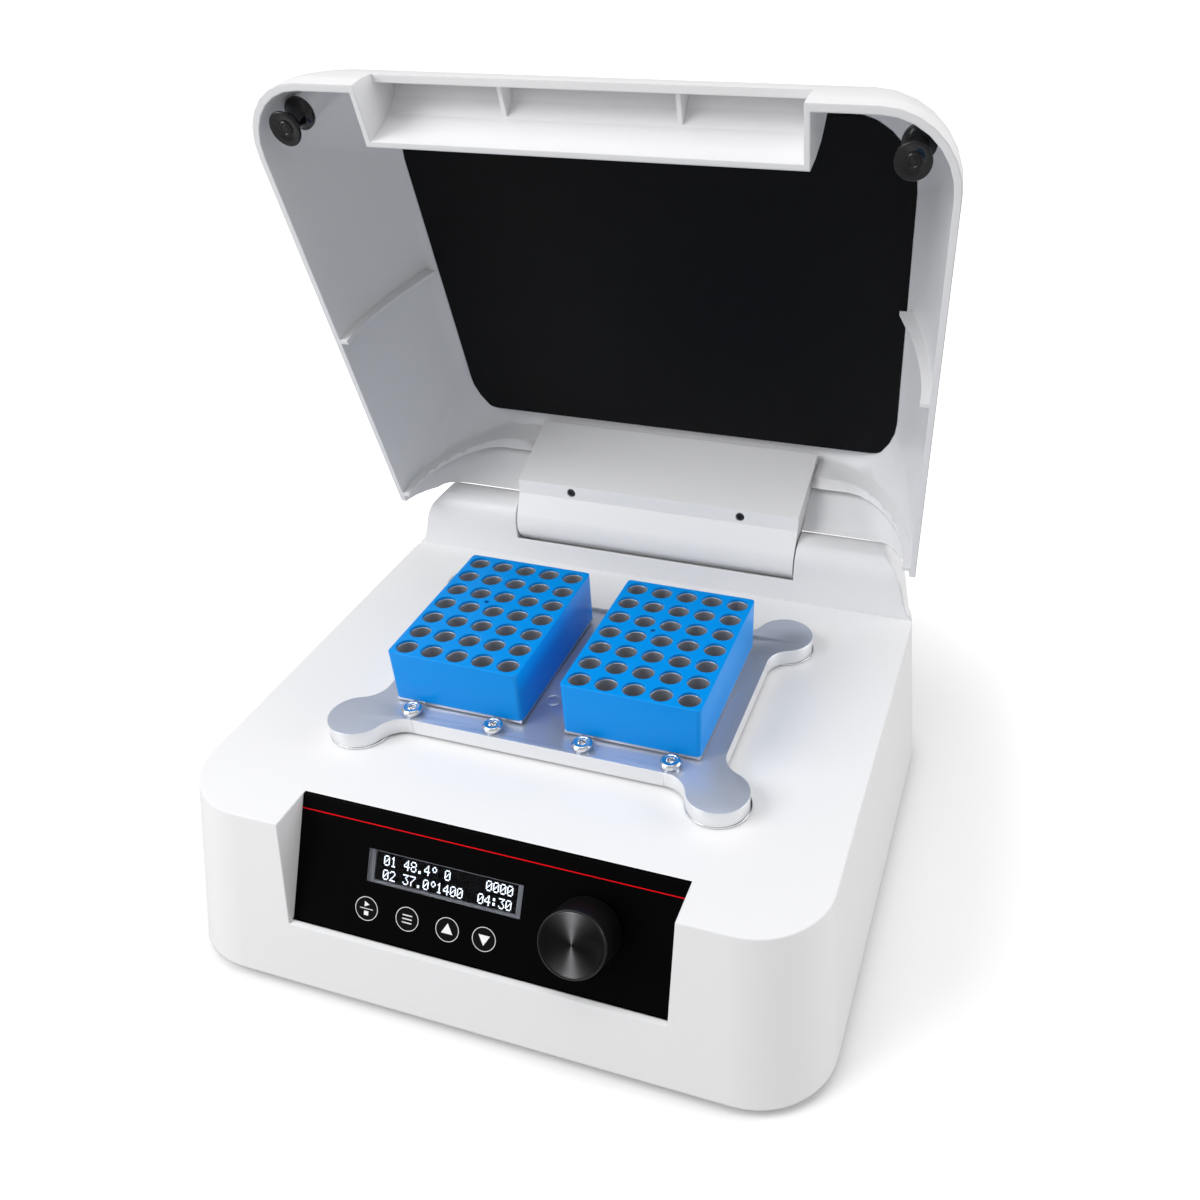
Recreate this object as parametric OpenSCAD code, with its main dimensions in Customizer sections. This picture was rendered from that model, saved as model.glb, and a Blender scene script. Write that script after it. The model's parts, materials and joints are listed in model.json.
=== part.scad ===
// Heated mixer for microtubes: a moulded housing with a sloping control panel,
// an orbiting heated platform with two 35-well blocks, and a hinged domed lid.
// Millimetres, +Z up, front towards -Y. The origin is on the bench under the
// platform's centre. The lid is drawn closed and then turned to its open rest pose.

/* [Housing] */
// Width of the housing's flat top
top_w = 322; // [300:1:340]
// Distance from the platform's centre to the front edge of the flat top
top_front = 139.7; // [136:0.1:150]
// Height of the flat top above the bench
top_z = 98; // [94:1:106]
// Gap between the bench and the housing's lower edge
foot_h = 6; // [4:0.5:10]
// Distance from the platform's centre to the housing's back
back_y = 144.5; // [144.3:0.1:156]
// How far each side leans out from top to bottom
side_lean = 12.3; // [6:0.1:16]
// How far the front leans out from top to bottom
front_lean = 22.7; // [16:0.1:28]
// Corner radius seen from above
corner_r = 37; // [28:1:42]
// Wall of the moulded housing
wall = 3; // [2.4:0.1:3.6]

/* [Control panel] */
// Width of the panel
panel_w = 197.6; // [190:0.2:206]
// Length of the panel down the slope
panel_l = 64.8; // [63:0.2:68]
// Slope of the panel away from upright
panel_tilt = 30.5; // [26:0.5:33]
// Distance from the platform's centre to the panel's top edge
panel_y = 116.9; // [115:0.1:120]
// Thickness of the panel's front plate
panel_t = 1.6; // [1.2:0.1:2]
// Width of the display's window
window_w = 81; // [76:1:86]
// Height of the display's window
window_h = 16.7; // [14:0.1:18]
// Window's centre, across from the middle
window_x = -19.6; // [-24:0.1:-14]
// Window's centre, down from the panel's top edge
window_s = 27.5; // [25:0.1:30]
// Diameter of a key
key_d = 11.4; // [9:0.1:12]
// Keys' row, down from the panel's top edge
key_s = 50; // [48:0.1:54]
// Travel of a key
key_travel = 0.6; // [0.3:0.1:0.8]
// Diameter of the knob
knob_d = 33.4; // [28:0.1:36]
// How far the knob's face stands off the panel
knob_h = 22; // [16:0.5:26]
// Knob's axis, across from the middle
knob_x = 54.9; // [50:0.1:60]
// Knob's axis, down from the panel's top edge
knob_s = 32.5; // [30:0.1:36]
// Travel of the knob when it is pushed
knob_travel = 1; // [0.5:0.1:1.5]

/* [Platform and drive] */
// Distance between the outer bearings across
ear_x = 192.4; // [188:0.2:198]
// Distance between the outer bearings front to back
ear_y = 133; // [130:0.2:138]
// Radius of a corner ear
ear_r = 15.4; // [14:0.1:17]
// Width of the platform between its corner ears
plate_w = 186.2; // [180:0.2:190]
// Depth of the platform between its corner ears
plate_d = 124; // [122:0.2:130]
// Thickness of the platform
plate_t = 8.6; // [7:0.1:10]
// Gap between the housing's top and the platform
plate_gap = 1.6; // [1.5:0.1:4]
// Radius of the platform's orbit
orbit_r = 1; // [0.5:0.1:1.2]
// Diameter of the eccentric pins
pin_d = 8; // [6:0.5:9]
// Diameter of the idlers' shafts
idler_d = 12; // [11:0.5:14]
// Diameter of the drive motor
motor_d = 62; // [50:1:66]
// Height of the drive motor
motor_h = 40; // [34:1:42]

/* [Blocks] */
// Spacing of the wells
pitch = 14; // [13.2:0.1:14.4]
// Wells across a block
cols = 5; // [3:1:5]
// Wells from front to back of a block
rows = 7; // [5:1:7]
// Diameter of a well
well_d = 10.9; // [10:0.1:11.2]
// Depth of a well
well_depth = 24; // [18:0.5:25]
// Distance between the two blocks' centres
block_gap = 93.8; // [90:0.2:100]
// Width of a block's cover
cover_w = 71.4; // [70:0.2:76]
// Depth of a block's cover from front to back
cover_d = 99; // [98:0.2:104]
// Height of a block's cover
cover_h = 28.4; // [26:0.2:30]
// Wall of a block's cover
cover_t = 1.6; // [1.2:0.1:2.4]
// Thickness of the flange under a block's cover
flange_t = 1.8; // [1.2:0.1:3]
// Thickness of the heater mat under a block
heater_t = 1; // [0.6:0.1:1.5]
// Head diameter of the screws that hold a block
block_screw_d = 10.4; // [8:0.1:11]
// Distance between a block's screws across
block_screw_x = 45.6; // [40:0.2:50]
// Distance between a block's screws front to back
block_screw_y = 113.2; // [110:0.2:116]

/* [Lid] */
// Height of the hinge's axis above the bench
hinge_z = 121.5; // [120:0.1:124]
// Distance from the platform's centre to the hinge's axis
hinge_y = 130.2; // [128:0.1:132]
// Radius of the hinge's barrel, and of the riser's rounded top
barrel_r = 14; // [12:0.1:15]
// Width of the hinge's cover
hinge_w = 176; // [160:1:190]
// How far the lid opens
lid_open = 74; // [50:1:76]
// Width of the lid at its rim
lid_w = 318.6; // [310:0.2:326]
// Distance from the platform's centre to the lid's front
lid_front = 136.2; // [134:0.2:140]
// Height of the lid above its rim
lid_h = 85; // [80:0.5:92]
// Wall of the lid
lid_wall = 3.2; // [2.6:0.1:3.8]
// How far each side of the lid leans in from its rim to its roof
lid_side = 27; // [20:1:40]
// How far the lid's front leans back from its rim to its roof
lid_nose = 41; // [34:1:52]
// Corner radius of the lid's rim
lid_corner = 33.6; // [28:0.2:40]
// Gap between the closed lid's rim and the housing's top
rim_gap = 0.5; // [0.3:0.1:2]
// Width of the finger recess in the lid's front
grip_w = 194; // [150:1:210]
// Height of the finger opening under the recess's lip
grip_h = 16; // [12:0.5:20]
// Thickness of the insulating pad in the lid
pad_t = 7.7; // [4:0.1:8.5]
// Diameter of the rubber buffers at the lid's front corners
buffer_d = 15; // [12:0.2:18]

/* [Inside] */
// Screw bosses, measured across from the platform's centre
boss_x = 138; // [134:0.5:140]
// Front screw bosses, measured forward from the platform's centre
boss_front = 118; // [112:1:122]
// Rear screw bosses, measured back from the platform's centre
boss_rear = 112; // [108:1:116]
// Feet, measured across from the platform's centre
foot_x = 118; // [100:1:124]
// Front feet, measured forward from the platform's centre
foot_front = 128; // [110:1:130]
// Rear feet, measured back from the platform's centre
foot_rear = 104; // [90:1:112]
// Pillars of the drive's deck, measured across from the platform's centre
pillar_x = 60; // [54:1:66]
// Pillars of the drive's deck, measured front to back from the platform's centre
pillar_y = 45; // [42:1:50]
// Width of the power supply's case
supply_w = 62; // [56:1:64]
// Length of the power supply's case
supply_l = 86; // [80:1:88]
// Height of the power supply's case
supply_h = 32; // [28:1:36]
// Width of the main circuit board
board_w = 130; // [120:1:134]
// Depth of the main circuit board
board_d = 60; // [56:1:64]

/* [Hidden] */
$fn = 48;
eps = 0.05;
run = 0.05;                 // running clearance on radius
snug = 0.02;                // clearance of a seated fit
gap = 0.3;                  // clearance beside moving faces

// housing
top_hw = top_w / 2;
body_h = top_z - foot_h;
base_t = 2;
boss_z = foot_h + base_t;
riser_end_top = 130;        // half-width of the riser's level top
deck_t = 3;
deck_z = 62;                // underside of the drive's deck

// platform and drive: the motor's axis stands one orbit radius behind the pins
drive_y = orbit_r;
plate_z0 = top_z + plate_gap;
plate_z1 = plate_z0 + plate_t;
bush_t = 3;
bush_h = plate_t - 2.2;
disc_r = ear_r + 0.9;
disc_z0 = top_z + gap;
disc_z1 = plate_z0 - gap;
post_r = idler_d / 2 + 6;
post_top = top_z - wall - 1;
crank_hub_r = 13;
ears = [for (sy = [-1, 1], sx = [-1, 1]) [sx * ear_x / 2, sy * ear_y / 2]];

// blocks
heater_z1 = plate_z1 + heater_t;
flange_z1 = heater_z1 + flange_t;
cover_z1 = flange_z1 + cover_h;
block_z1 = cover_z1 - cover_t - 0.1;
block_x = block_gap / 2;
block_screw_head = 4.4;
socket_af = 4;

// panel frame: x across, y up the slope, z out of the panel
panel_a = 90 - panel_tilt;
key_x = [-58.8, -36.6, -15.1, 4.2];
panel_fit = 0.15;

// lid, closed
rim_z = top_z + rim_gap;
lid_rear = hinge_y - 5;     // where the dome's rear would meet the rim
lid_rear_in = 22;           // how far the rear leans in
lid_top_r = 10;             // round-over of the roof's edge
lid_cut_y = hinge_y - 20.7; // rear end of the rim
clear_r = barrel_r + 1;     // the lid's rear edge clears the riser by this
rib_t = 2.5;
rib_h = 4.5;
slot_r = barrel_r + 2.5;
slot_w = hinge_w + 1.4;
pin_r = 4;
pad_z0 = rim_z + lid_h - lid_wall - pad_t;
bulkhead_y = 113;           // recess wall's distance in front of the centre
buffer_x = 139.3;
buffer_y = -116.3;
hinge_screw_x = 53.2;

// ---------- shared shapes ----------

// points of a rectangle with rounded corners: front radius rf, rear radius rr
function rounded(x, yf, yr, rf, rr, n = 7) = concat(
  [for (i = [0:n]) let (a = -90 + 90 * i / n) [x - rf + rf * cos(a), yf + rf + rf * sin(a)]],
  [for (i = [0:n]) let (a = 90 * i / n) [x - rr + rr * cos(a), yr - rr + rr * sin(a)]],
  [for (i = [0:n]) let (a = 90 + 90 * i / n) [-x + rr + rr * cos(a), yr - rr + rr * sin(a)]],
  [for (i = [0:n]) let (a = 180 + 90 * i / n) [-x + rf + rf * cos(a), yf + rf + rf * sin(a)]]);

// solid through a list of level outlines that hold the same number of points
module loft(outlines, heights) {
  n = len(outlines[0]);
  m = len(outlines);
  polyhedron(
    points = [for (k = [0:m - 1]) for (p = outlines[k]) [p[0], p[1], heights[k]]],
    faces = concat(
      [[for (i = [0:n - 1]) i]],
      [for (k = [0:m - 2]) for (i = [0:n - 1]) let (j = (i + 1) % n)
        [k * n + i, (k + 1) * n + i, (k + 1) * n + j]],
      [for (k = [0:m - 2]) for (i = [0:n - 1]) let (j = (i + 1) % n)
        [k * n + i, (k + 1) * n + j, k * n + j]],
      [[for (i = [n - 1:-1:0]) (m - 1) * n + i]]));
}

module mirrored() { children(); mirror([1, 0, 0]) children(); }

module quadrants() { for (a = [0, 1], b = [0, 1]) mirror([a, 0, 0]) mirror([0, b, 0]) children(); }

module along_x(w) { rotate([90, 0, 90]) translate([0, 0, -w / 2]) linear_extrude(w) children(); }

module pipe(ro, ri, h) { difference() { cylinder(r = ro, h = h); translate([0, 0, -1]) cylinder(r = ri, h = h + 2); } }

module on_panel() { translate([0, -panel_y, top_z]) rotate([panel_a, 0, 0]) children(); }

module cap_screw(d, head, shank, l, af) {
  difference() {
    union() {
      cylinder(r = d / 2, h = head - 0.8);
      translate([0, 0, head - 0.8]) cylinder(r1 = d / 2, r2 = d / 2 - 0.8, h = 0.8);
      translate([0, 0, -l]) cylinder(r = shank / 2, h = l + eps);
    }
    translate([0, 0, head * 0.4]) cylinder(r = af / sqrt(3), h = head, $fn = 6);
  }
}

module lid_pose() {
  translate([0, hinge_y, hinge_z]) rotate([-lid_open, 0, 0]) translate([0, -hinge_y, -hinge_z]) children();
}

// ---------- housing ----------

// the leaning tub, drawn w inside its outer faces, between two heights
module tub(w, z0, z1) {
  function lean(z) = (top_z - z) / body_h;
  function at(z) = rounded(top_hw + side_lean * lean(z) - w, -top_front - front_lean * lean(z) + w,
    back_y - w, corner_r + 4 * lean(z) - w, corner_r - w, 11);
  loft([at(z0), at(z1)], [z0, z1]);
}

riser_end = [[riser_end_top, hinge_z + barrel_r], [134.5, hinge_z + barrel_r - 0.4],
  [138.6, hinge_z + 12.4], [143.2, hinge_z + 9.5], [147, hinge_z + 5.4], [149.9, hinge_z + 0.4],
  [151.9, hinge_z - 5.2], [154.2, hinge_z - 13.3], [156.6, hinge_z - 20], [top_hw, top_z]];

module riser(w) {
  r = barrel_r - w;
  y1 = back_y - w - r;
  intersection() {
    union() {
      for (y = [hinge_y, y1]) translate([0, y, hinge_z]) rotate([0, 90, 0]) cylinder(r = r, h = top_w, center = true, $fn = 96);
      translate([-top_hw, hinge_y - r, top_z - wall - 1]) cube([top_w, y1 - hinge_y + 2 * r, hinge_z - top_z + wall + 1]);
      translate([-top_hw, hinge_y, hinge_z - 1]) cube([top_w, y1 - hinge_y, r + 1]);
    }
    translate([0, back_y + 1, 0]) rotate([90, 0, 0]) linear_extrude(60)
      polygon(concat([for (p = riser_end) [p[0] - w, p[1] - w / 2]], [[top_hw - w, top_z - 10],
        [-top_hw + w, top_z - 10]], [for (i = [len(riser_end) - 1:-1:0]) [-riser_end[i][0] + w, riser_end[i][1] - w / 2]]));
    loft([for (z = [0, 1]) rounded(top_hw - w, -top_front, back_y - w, corner_r, corner_r - w, 11)], [top_z - 20, top_z + 60]);
  }
}

// side profile of the control panel's bay, sunk d below the panel's face
panel_z0 = top_z - panel_l * sin(panel_a);
function slope_y(z, d) = -panel_y + d / sin(panel_a) + (z - top_z) / tan(panel_a);

module bay(d, w) {
  far = -top_front - 60;
  along_x(w) polygon([[slope_y(top_z + 2, d), top_z + 2], [far, top_z + 2], [far, panel_z0], [slope_y(panel_z0, d), panel_z0]]);
}

module upper_housing() {
  color([0.9, 0.9, 0.9]) difference() {
    union() {
      difference() {
        union() { tub(0, foot_h, top_z); riser(0); }
        tub(wall, foot_h - 1, top_z - wall);
        // hollow of the riser beyond the hinge's end blocks
        difference() {
          riser(wall);
          cube([slot_w + 24, 400, 400], center = true);
        }
      }
      // walls of the bay, inside the tub
      intersection() {
        tub(0.5, foot_h + 1, top_z - 0.5);
        bay(panel_t + wall, panel_w + 2 * wall);
      }
      // screw bosses for the bottom plate
      for (sx = [-1, 1], y = [-boss_front, boss_rear]) translate([sx * boss_x, y, boss_z]) cylinder(r = 5, h = top_z - wall - boss_z + 1);
    }
    bay(panel_t, panel_w);
    // slot of the hinge, open to the back
    translate([0, hinge_y, hinge_z]) rotate([0, 90, 0]) cylinder(r = slot_r, h = slot_w, center = true, $fn = 96);
    translate([-slot_w / 2, hinge_y, hinge_z - 11.5]) cube([slot_w, 60, 60]);
    // seats of the hinge pin
    translate([0, hinge_y, hinge_z]) rotate([0, 90, 0]) cylinder(r = pin_r + snug, h = slot_w + 20, center = true);
    // openings behind the panel
    on_panel() {
      translate([window_x, -window_s, 0]) cube([window_w - 6, window_h - 2, 40], center = true);
      translate([knob_x, -knob_s, -30]) cylinder(r = 5.5, h = 60);
      for (x = key_x) translate([x, -key_s, -30]) cylinder(r = key_d / 2 - 1.2, h = 60);
    }
    // drive openings in the top
    translate([0, drive_y, top_z - 10]) cylinder(r = pin_d / 2 + orbit_r + 4, h = 20);
    for (e = ears) translate([e[0], e[1] + drive_y, top_z - 10]) cylinder(r = idler_d / 2 + 1, h = 20);
    // screw holes in the bosses
    for (sx = [-1, 1], y = [-boss_front, boss_rear]) translate([sx * boss_x, y, boss_z - 1]) cylinder(r = 1.7, h = 20);
    // mains inlet, switch and air slots in the back
    translate([inlet_x, back_y, inlet_z]) cube([27.6, 20, 20.2], center = true);
    translate([switch_x, back_y, inlet_z]) cube([13.2, 20, 19.4], center = true);
    for (sx = [-1, 1]) translate([inlet_x + sx * 20, back_y, inlet_z]) rotate([90, 0, 0]) cylinder(r = 1.72, h = 20, center = true);
    for (i = [-4:4]) translate([40 + i * 7, back_y, 40]) cube([3, 20, 34], center = true);
  }
}

inlet_x = -78;
inlet_z = 40;
switch_x = -116;
rocker_pin_r = 1.2;

module base_plate() {
  color([0.75, 0.76, 0.77]) difference() {
    tub(wall + gap, foot_h, boss_z);
    for (sx = [-1, 1], y = [-boss_front, boss_rear]) translate([sx * boss_x, y, foot_h - 1]) {
      cylinder(r = 2, h = 10);
    }
    for (i = [-6:6], sx = [-1, 1]) translate([sx * 70 + i * 6, 70, foot_h]) cube([2.6, 40, 20], center = true);
    for (x = [-1, 1], y = [-1, 1]) translate([x * pillar_x, y * pillar_y, foot_h - 1]) cylinder(r = 2.1, h = 10);
  }
}

module feet() {
  color([0.1, 0.1, 0.1]) for (sx = [-1, 1], y = [-foot_front, foot_rear]) translate([sx * foot_x, y, 0])
    difference() {
      union() { cylinder(r1 = 10, r2 = 11, h = 2); translate([0, 0, 2]) cylinder(r = 11, h = foot_h - 2); }
      translate([0, 0, -1]) cylinder(r = 5, h = 3);
    }
}

module base_screws() {
  color([0.6, 0.6, 0.6]) for (sx = [-1, 1], y = [-boss_front, boss_rear]) translate([sx * boss_x, y, foot_h]) rotate([180, 0, 0])
    cap_screw(6.4, 2.4, 3.3, 14, 2.5);
}

// ---------- control panel ----------

module control_panel() {
  color([0.03, 0.03, 0.04]) difference() {
    intersection() {
      on_panel() translate([-panel_w / 2 + panel_fit, -panel_l - 5, -panel_t]) cube([panel_w - 2 * panel_fit, panel_l + 10, panel_t]);
      translate([-panel_w, -panel_y - 60, panel_z0 + panel_fit]) cube([2 * panel_w, 80, top_z - panel_z0 - panel_fit]);
    }
    on_panel() {
      translate([window_x, -window_s, 0]) cube([window_w, window_h, 20], center = true);
      translate([knob_x, -knob_s, -10]) cylinder(r = 5, h = 20);
      for (x = key_x) translate([x, -key_s, -10]) cylinder(r = key_d / 2, h = 20);
    }
  }
}

module display_window() {
  color([0.05, 0.05, 0.06, 0.6]) on_panel() translate([window_x, -window_s, -panel_t / 2 + eps / 2])
    cube([window_w - 0.1, window_h - 0.1, panel_t - eps], center = true);
}

module display_module() {
  back = panel_t + wall;
  color([0.1, 0.3, 0.15]) on_panel() difference() {
    union() {
      translate([window_x, -window_s, -panel_t - wall / 2 - 1]) cube([window_w - 7, window_h - 3, wall + 1.6], center = true);
      translate([window_x, -window_s, -back - 3]) cube([window_w + 8, window_h + 12, 5], center = true);
      translate([window_x, -window_s + 2, -back - 6.2]) cube([window_w + 20, 35, 1.6], center = true);
    }
  }
}

module key_board() {
  z0 = -panel_t - wall - 9;
  color([0.1, 0.35, 0.15]) on_panel() {
    translate([-66, -key_s - 7.5, z0]) cube([140, 12, 1.6]);
    translate([knob_x - 14, -key_s, z0]) cube([33, 36, 1.6]);
    for (x = key_x) translate([x, -key_s, z0 + 1.5]) {
      translate([-3, -3, 0]) cube([6, 6, 3.6]);
      cylinder(r = 1.7, h = -z0 - 1.5 - panel_t - key_shank - key_travel - 0.1);
    }
  }
}

key_shank = 0.6;

module key(i) {
  on_panel() translate([key_x[i], -key_s, 0]) {
    translate([0, 0, -panel_t + 0.2 + key_travel]) cylinder(r = key_d / 2 - run, h = panel_t - 0.2 - key_travel);
    translate([0, 0, -panel_t - key_shank]) cylinder(r = key_d / 2 - 2.5, h = panel_t + key_shank - 0.2);
  }
}

module key_1() { color([0.04, 0.04, 0.05]) key(0); }
module key_2() { color([0.04, 0.04, 0.05]) key(1); }
module key_up() { color([0.04, 0.04, 0.05]) key(2); }
module key_down() { color([0.04, 0.04, 0.05]) key(3); }

shaft_r = 3;

module encoder_body() {
  z0 = -panel_t - wall - 7.4;
  color([0.5, 0.5, 0.52]) on_panel() translate([knob_x, -knob_s, 0]) difference() {
    union() {
      translate([-6.5, -6.5, z0]) cube([13, 13, 7]);
      translate([0, 0, z0 + 6]) cylinder(r = 4.6, h = -z0 - 6 - panel_t + 1.2);
    }
    translate([0, 0, z0 + 2]) cylinder(r = shaft_r + run, h = 30);
  }
}

module encoder_plunger() {
  z0 = -panel_t - wall - 7.4;
  color([0.7, 0.7, 0.7]) on_panel() translate([knob_x, -knob_s, z0 + 2 + knob_travel + 0.1]) cylinder(r = shaft_r - 0.2, h = 1.4);
}

module knob() {
  z0 = -panel_t - wall - 7.4;
  color([0.05, 0.05, 0.05]) on_panel() translate([knob_x, -knob_s, 0]) {
    difference() {
      rotate_extrude($fn = 96) polygon([[0, knob_travel + 0.4 + 4], [shaft_r + 2.2, knob_travel + 0.4 + 4],
        [shaft_r + 2.2, knob_travel + 0.4], [knob_d / 2 - 0.5, knob_travel + 0.4], [knob_d / 2, knob_travel + 1],
        [knob_d / 2 - 0.5, knob_h - 1.6], [knob_d / 2 - 1.7, knob_h], [knob_d / 2 - 2.4, knob_h],
        [knob_d / 2 - 2.4, knob_h - 0.8], [0, knob_h - 0.8]]);
    }
    translate([0, 0, z0 + 3.6 + knob_travel + 0.1]) cylinder(r = shaft_r, h = -z0 + 4);
  }
}

module knob_face() {
  color([0.15, 0.15, 0.16]) on_panel() translate([knob_x, -knob_s, knob_h - 0.8])
    rotate_extrude($fn = 96) polygon([[0, 0], [knob_d / 2 - 2.42, 0], [knob_d / 2 - 2.42, 0.5], [knob_d / 2 - 3, 0.7],
      [3, 0.45], [0, 0.4]]);
}

// ---------- electronics and mains ----------

module main_board() {
  color([0.08, 0.3, 0.15]) {
    difference() {
      translate([-45, -112, boss_z + 6]) cube([board_w, board_d, 1.6]);
      for (x = [-41, board_w - 49], y = [-108, board_d - 116]) translate([x, y, boss_z]) cylinder(r = 1.6, h = 20);
    }
    for (x = [-41, board_w - 49], y = [-108, board_d - 116]) translate([x, y, boss_z]) pipe(3, 1.6, 6);
    translate([-30, -100, boss_z + 7.5]) cube([24, 24, 3]);
    translate([30, -92, boss_z + 7.5]) cube([40, 14, 22]);
    for (i = [0:3]) translate([i * 7, -66, boss_z + 7.5]) cylinder(r = 3, h = 12);
  }
}

module power_supply() {
  color([0.7, 0.71, 0.73]) difference() {
    translate([-138, 16, boss_z]) cube([supply_w, supply_l, supply_h]);
    translate([-136.5, 15, boss_z + 1.5]) cube([supply_w - 3, supply_l + 3, supply_h + 8]);
  }
  color([0.1, 0.3, 0.15]) {
    translate([-136.4, 18, boss_z + 1.5]) cube([supply_w - 3.2, supply_l - 4, 8]);
    translate([-130, 30, boss_z + 9.4]) cube([26, 28, 20]);
    for (y = [68, 86]) translate([-120, y, boss_z + 9.4]) cylinder(r = 7, h = 20);
    translate([-96, 30, boss_z + 9.4]) cube([10, 56, 18]);
  }
}

module mains_inlet() {
  color([0.07, 0.07, 0.07]) translate([inlet_x, back_y, inlet_z]) difference() {
    union() {
      translate([-24, 0, -11.6]) cube([48, 3, 23.2]);
      translate([-13.7, -18, -10]) cube([27.4, 18 + eps, 20]);
    }
    translate([-11, -15, -7.5]) cube([22, 30, 15]);
    for (sx = [-1, 1]) translate([sx * 20, 0, 0]) rotate([90, 0, 0]) cylinder(r = 1.75, h = 20, center = true);
  }
  color([0.8, 0.8, 0.8]) for (x = [-7, 0, 7]) translate([inlet_x + x - 0.9, back_y - 15.5, inlet_z - 2 + (x == 0 ? 2.5 : 0)])
    cube([1.8, 12, 4]);
}

module inlet_screws() {
  color([0.6, 0.6, 0.6]) for (sx = [-1, 1]) translate([inlet_x + sx * 20, back_y + 3, inlet_z]) rotate([-90, 0, 0])
    cap_screw(5.6, 1.8, 3.4, 9, 2);
}

module power_switch() {
  color([0.07, 0.07, 0.07]) translate([switch_x, back_y, inlet_z]) difference() {
    union() {
      translate([-7.6, 0, -10.6]) cube([15.2, 2, 21.2]);
      translate([-6.5, -16, -9.6]) cube([13, 16 + eps, 19.2]);
    }
    translate([-5, -9, -8.4]) cube([10, 20, 16.8]);
    translate([0, -1, 0]) rotate([0, 90, 0]) cylinder(r = rocker_pin_r + run, h = 12, center = true);
  }
}

module switch_rocker() {
  color([0.15, 0.15, 0.15]) translate([switch_x, back_y - 1, inlet_z]) {
    along_x(9.6) polygon([[-3, -4], [-0.5, -7.6], [3.4, -7.2], [1.6, 0], [2.4, 7.4], [-1.6, 7.6], [-3, 4]]);
    rotate([0, 90, 0]) cylinder(r = rocker_pin_r, h = 11.8, center = true);
  }
}

// ---------- drive ----------

module drive_deck() {
  color([0.72, 0.73, 0.75]) difference() {
    translate([-ear_x / 2 - 24, -ear_y / 2 - 22, deck_z]) cube([ear_x + 48, ear_y + 44, deck_t]);
    translate([0, drive_y, deck_z - 1]) cylinder(r = 15, h = 10);
    for (a = [0:3]) translate([0, drive_y, deck_z - 1]) rotate(a * 90 + 45) translate([24, 0, 0]) cylinder(r = 2.1, h = 10);
    for (e = ears) translate([e[0], e[1] + drive_y, deck_z - 1]) cylinder(r = idler_d / 2 + 2, h = 10);
    for (x = [-1, 1], y = [-1, 1]) translate([x * pillar_x, y * pillar_y, deck_z - 1]) cylinder(r = 2.1, h = 10);
    for (x = [-1, 1]) translate([x * 52, 0, deck_z - 1]) cylinder(r = 14, h = 10);
  }
}

module deck_pillars() {
  color([0.7, 0.7, 0.72]) for (x = [-1, 1], y = [-1, 1]) translate([x * pillar_x, y * pillar_y, boss_z]) difference() {
    cylinder(r = 5, h = deck_z - boss_z);
    translate([0, 0, -1]) cylinder(r = 1.7, h = 15);
    translate([0, 0, deck_z - boss_z - 14]) cylinder(r = 1.7, h = 15);
  }
}

module deck_screws() {
  color([0.6, 0.6, 0.6]) for (x = [-1, 1], y = [-1, 1]) {
    translate([x * pillar_x, y * pillar_y, deck_z + deck_t]) cap_screw(7, 3, 3.3, 12, 3);
    translate([x * pillar_x, y * pillar_y, foot_h]) rotate([180, 0, 0]) cap_screw(7, 2.4, 3.3, 12, 3);
  }
}

module idler_posts() {
  color([0.75, 0.76, 0.78]) for (e = ears) translate([e[0], e[1] + drive_y, deck_z + deck_t]) difference() {
    union() {
      cylinder(r = post_r + 4, h = 4);
      cylinder(r = post_r, h = post_top - deck_z - deck_t);
    }
    translate([0, 0, -1]) cylinder(r = idler_d / 2 + run, h = 60);
  }
}

module idler(i) {
  e = ears[i];
  translate([e[0], e[1] + drive_y, 0]) {
    translate([0, 0, deck_z + 1]) cylinder(r = idler_d / 2, h = disc_z0 - deck_z - 1 + eps);
    translate([0, 0, disc_z0]) cylinder(r = disc_r, h = disc_z1 - disc_z0);
    translate([0, -orbit_r, disc_z1 - eps]) cylinder(r = pin_d / 2, h = bush_h + 0.2);
  }
}

module idler_front_left() { color([0.8, 0.8, 0.8]) idler(0); }
module idler_front_right() { color([0.8, 0.8, 0.8]) idler(1); }
module idler_rear_left() { color([0.8, 0.8, 0.8]) idler(2); }
module idler_rear_right() { color([0.8, 0.8, 0.8]) idler(3); }

motor_top = deck_z;
motor_shaft_r = 4;

module drive_motor() {
  color([0.2, 0.2, 0.22]) translate([0, drive_y, motor_top - motor_h]) difference() {
    union() {
      cylinder(r = motor_d / 2, h = motor_h);
      translate([0, 0, motor_h - eps]) cylinder(r = 11, h = 2);
    }
    translate([0, 0, 4]) cylinder(r = motor_shaft_r + run, h = motor_h);
    for (a = [0:3]) rotate(a * 90 + 45) translate([24, 0, motor_h - 8]) cylinder(r = 1.7, h = 10);
  }
}

module motor_screws() {
  color([0.6, 0.6, 0.6]) for (a = [0:3]) translate([0, drive_y, deck_z + deck_t]) rotate(a * 90 + 45) translate([24, 0, 0])
    cap_screw(7, 3, 3.3, 9, 3);
}

crank_z0 = deck_z + deck_t + 4;

module crankshaft() {
  color([0.78, 0.78, 0.8]) translate([0, drive_y, 0]) {
    translate([0, 0, motor_top - motor_h + 6]) cylinder(r = motor_shaft_r, h = crank_z0 - motor_top + motor_h - 6 + eps);
    translate([0, 0, crank_z0]) cylinder(r = crank_hub_r, h = 14);
    translate([0, 0, crank_z0 + 14 - eps]) cylinder(r = idler_d / 2 - 0.5, h = top_z - 4 - crank_z0 - 14);
    translate([0, -orbit_r, top_z - 5]) cylinder(r = pin_d / 2, h = plate_z0 + bush_h - 0.1 - top_z + 5);
  }
}

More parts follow.
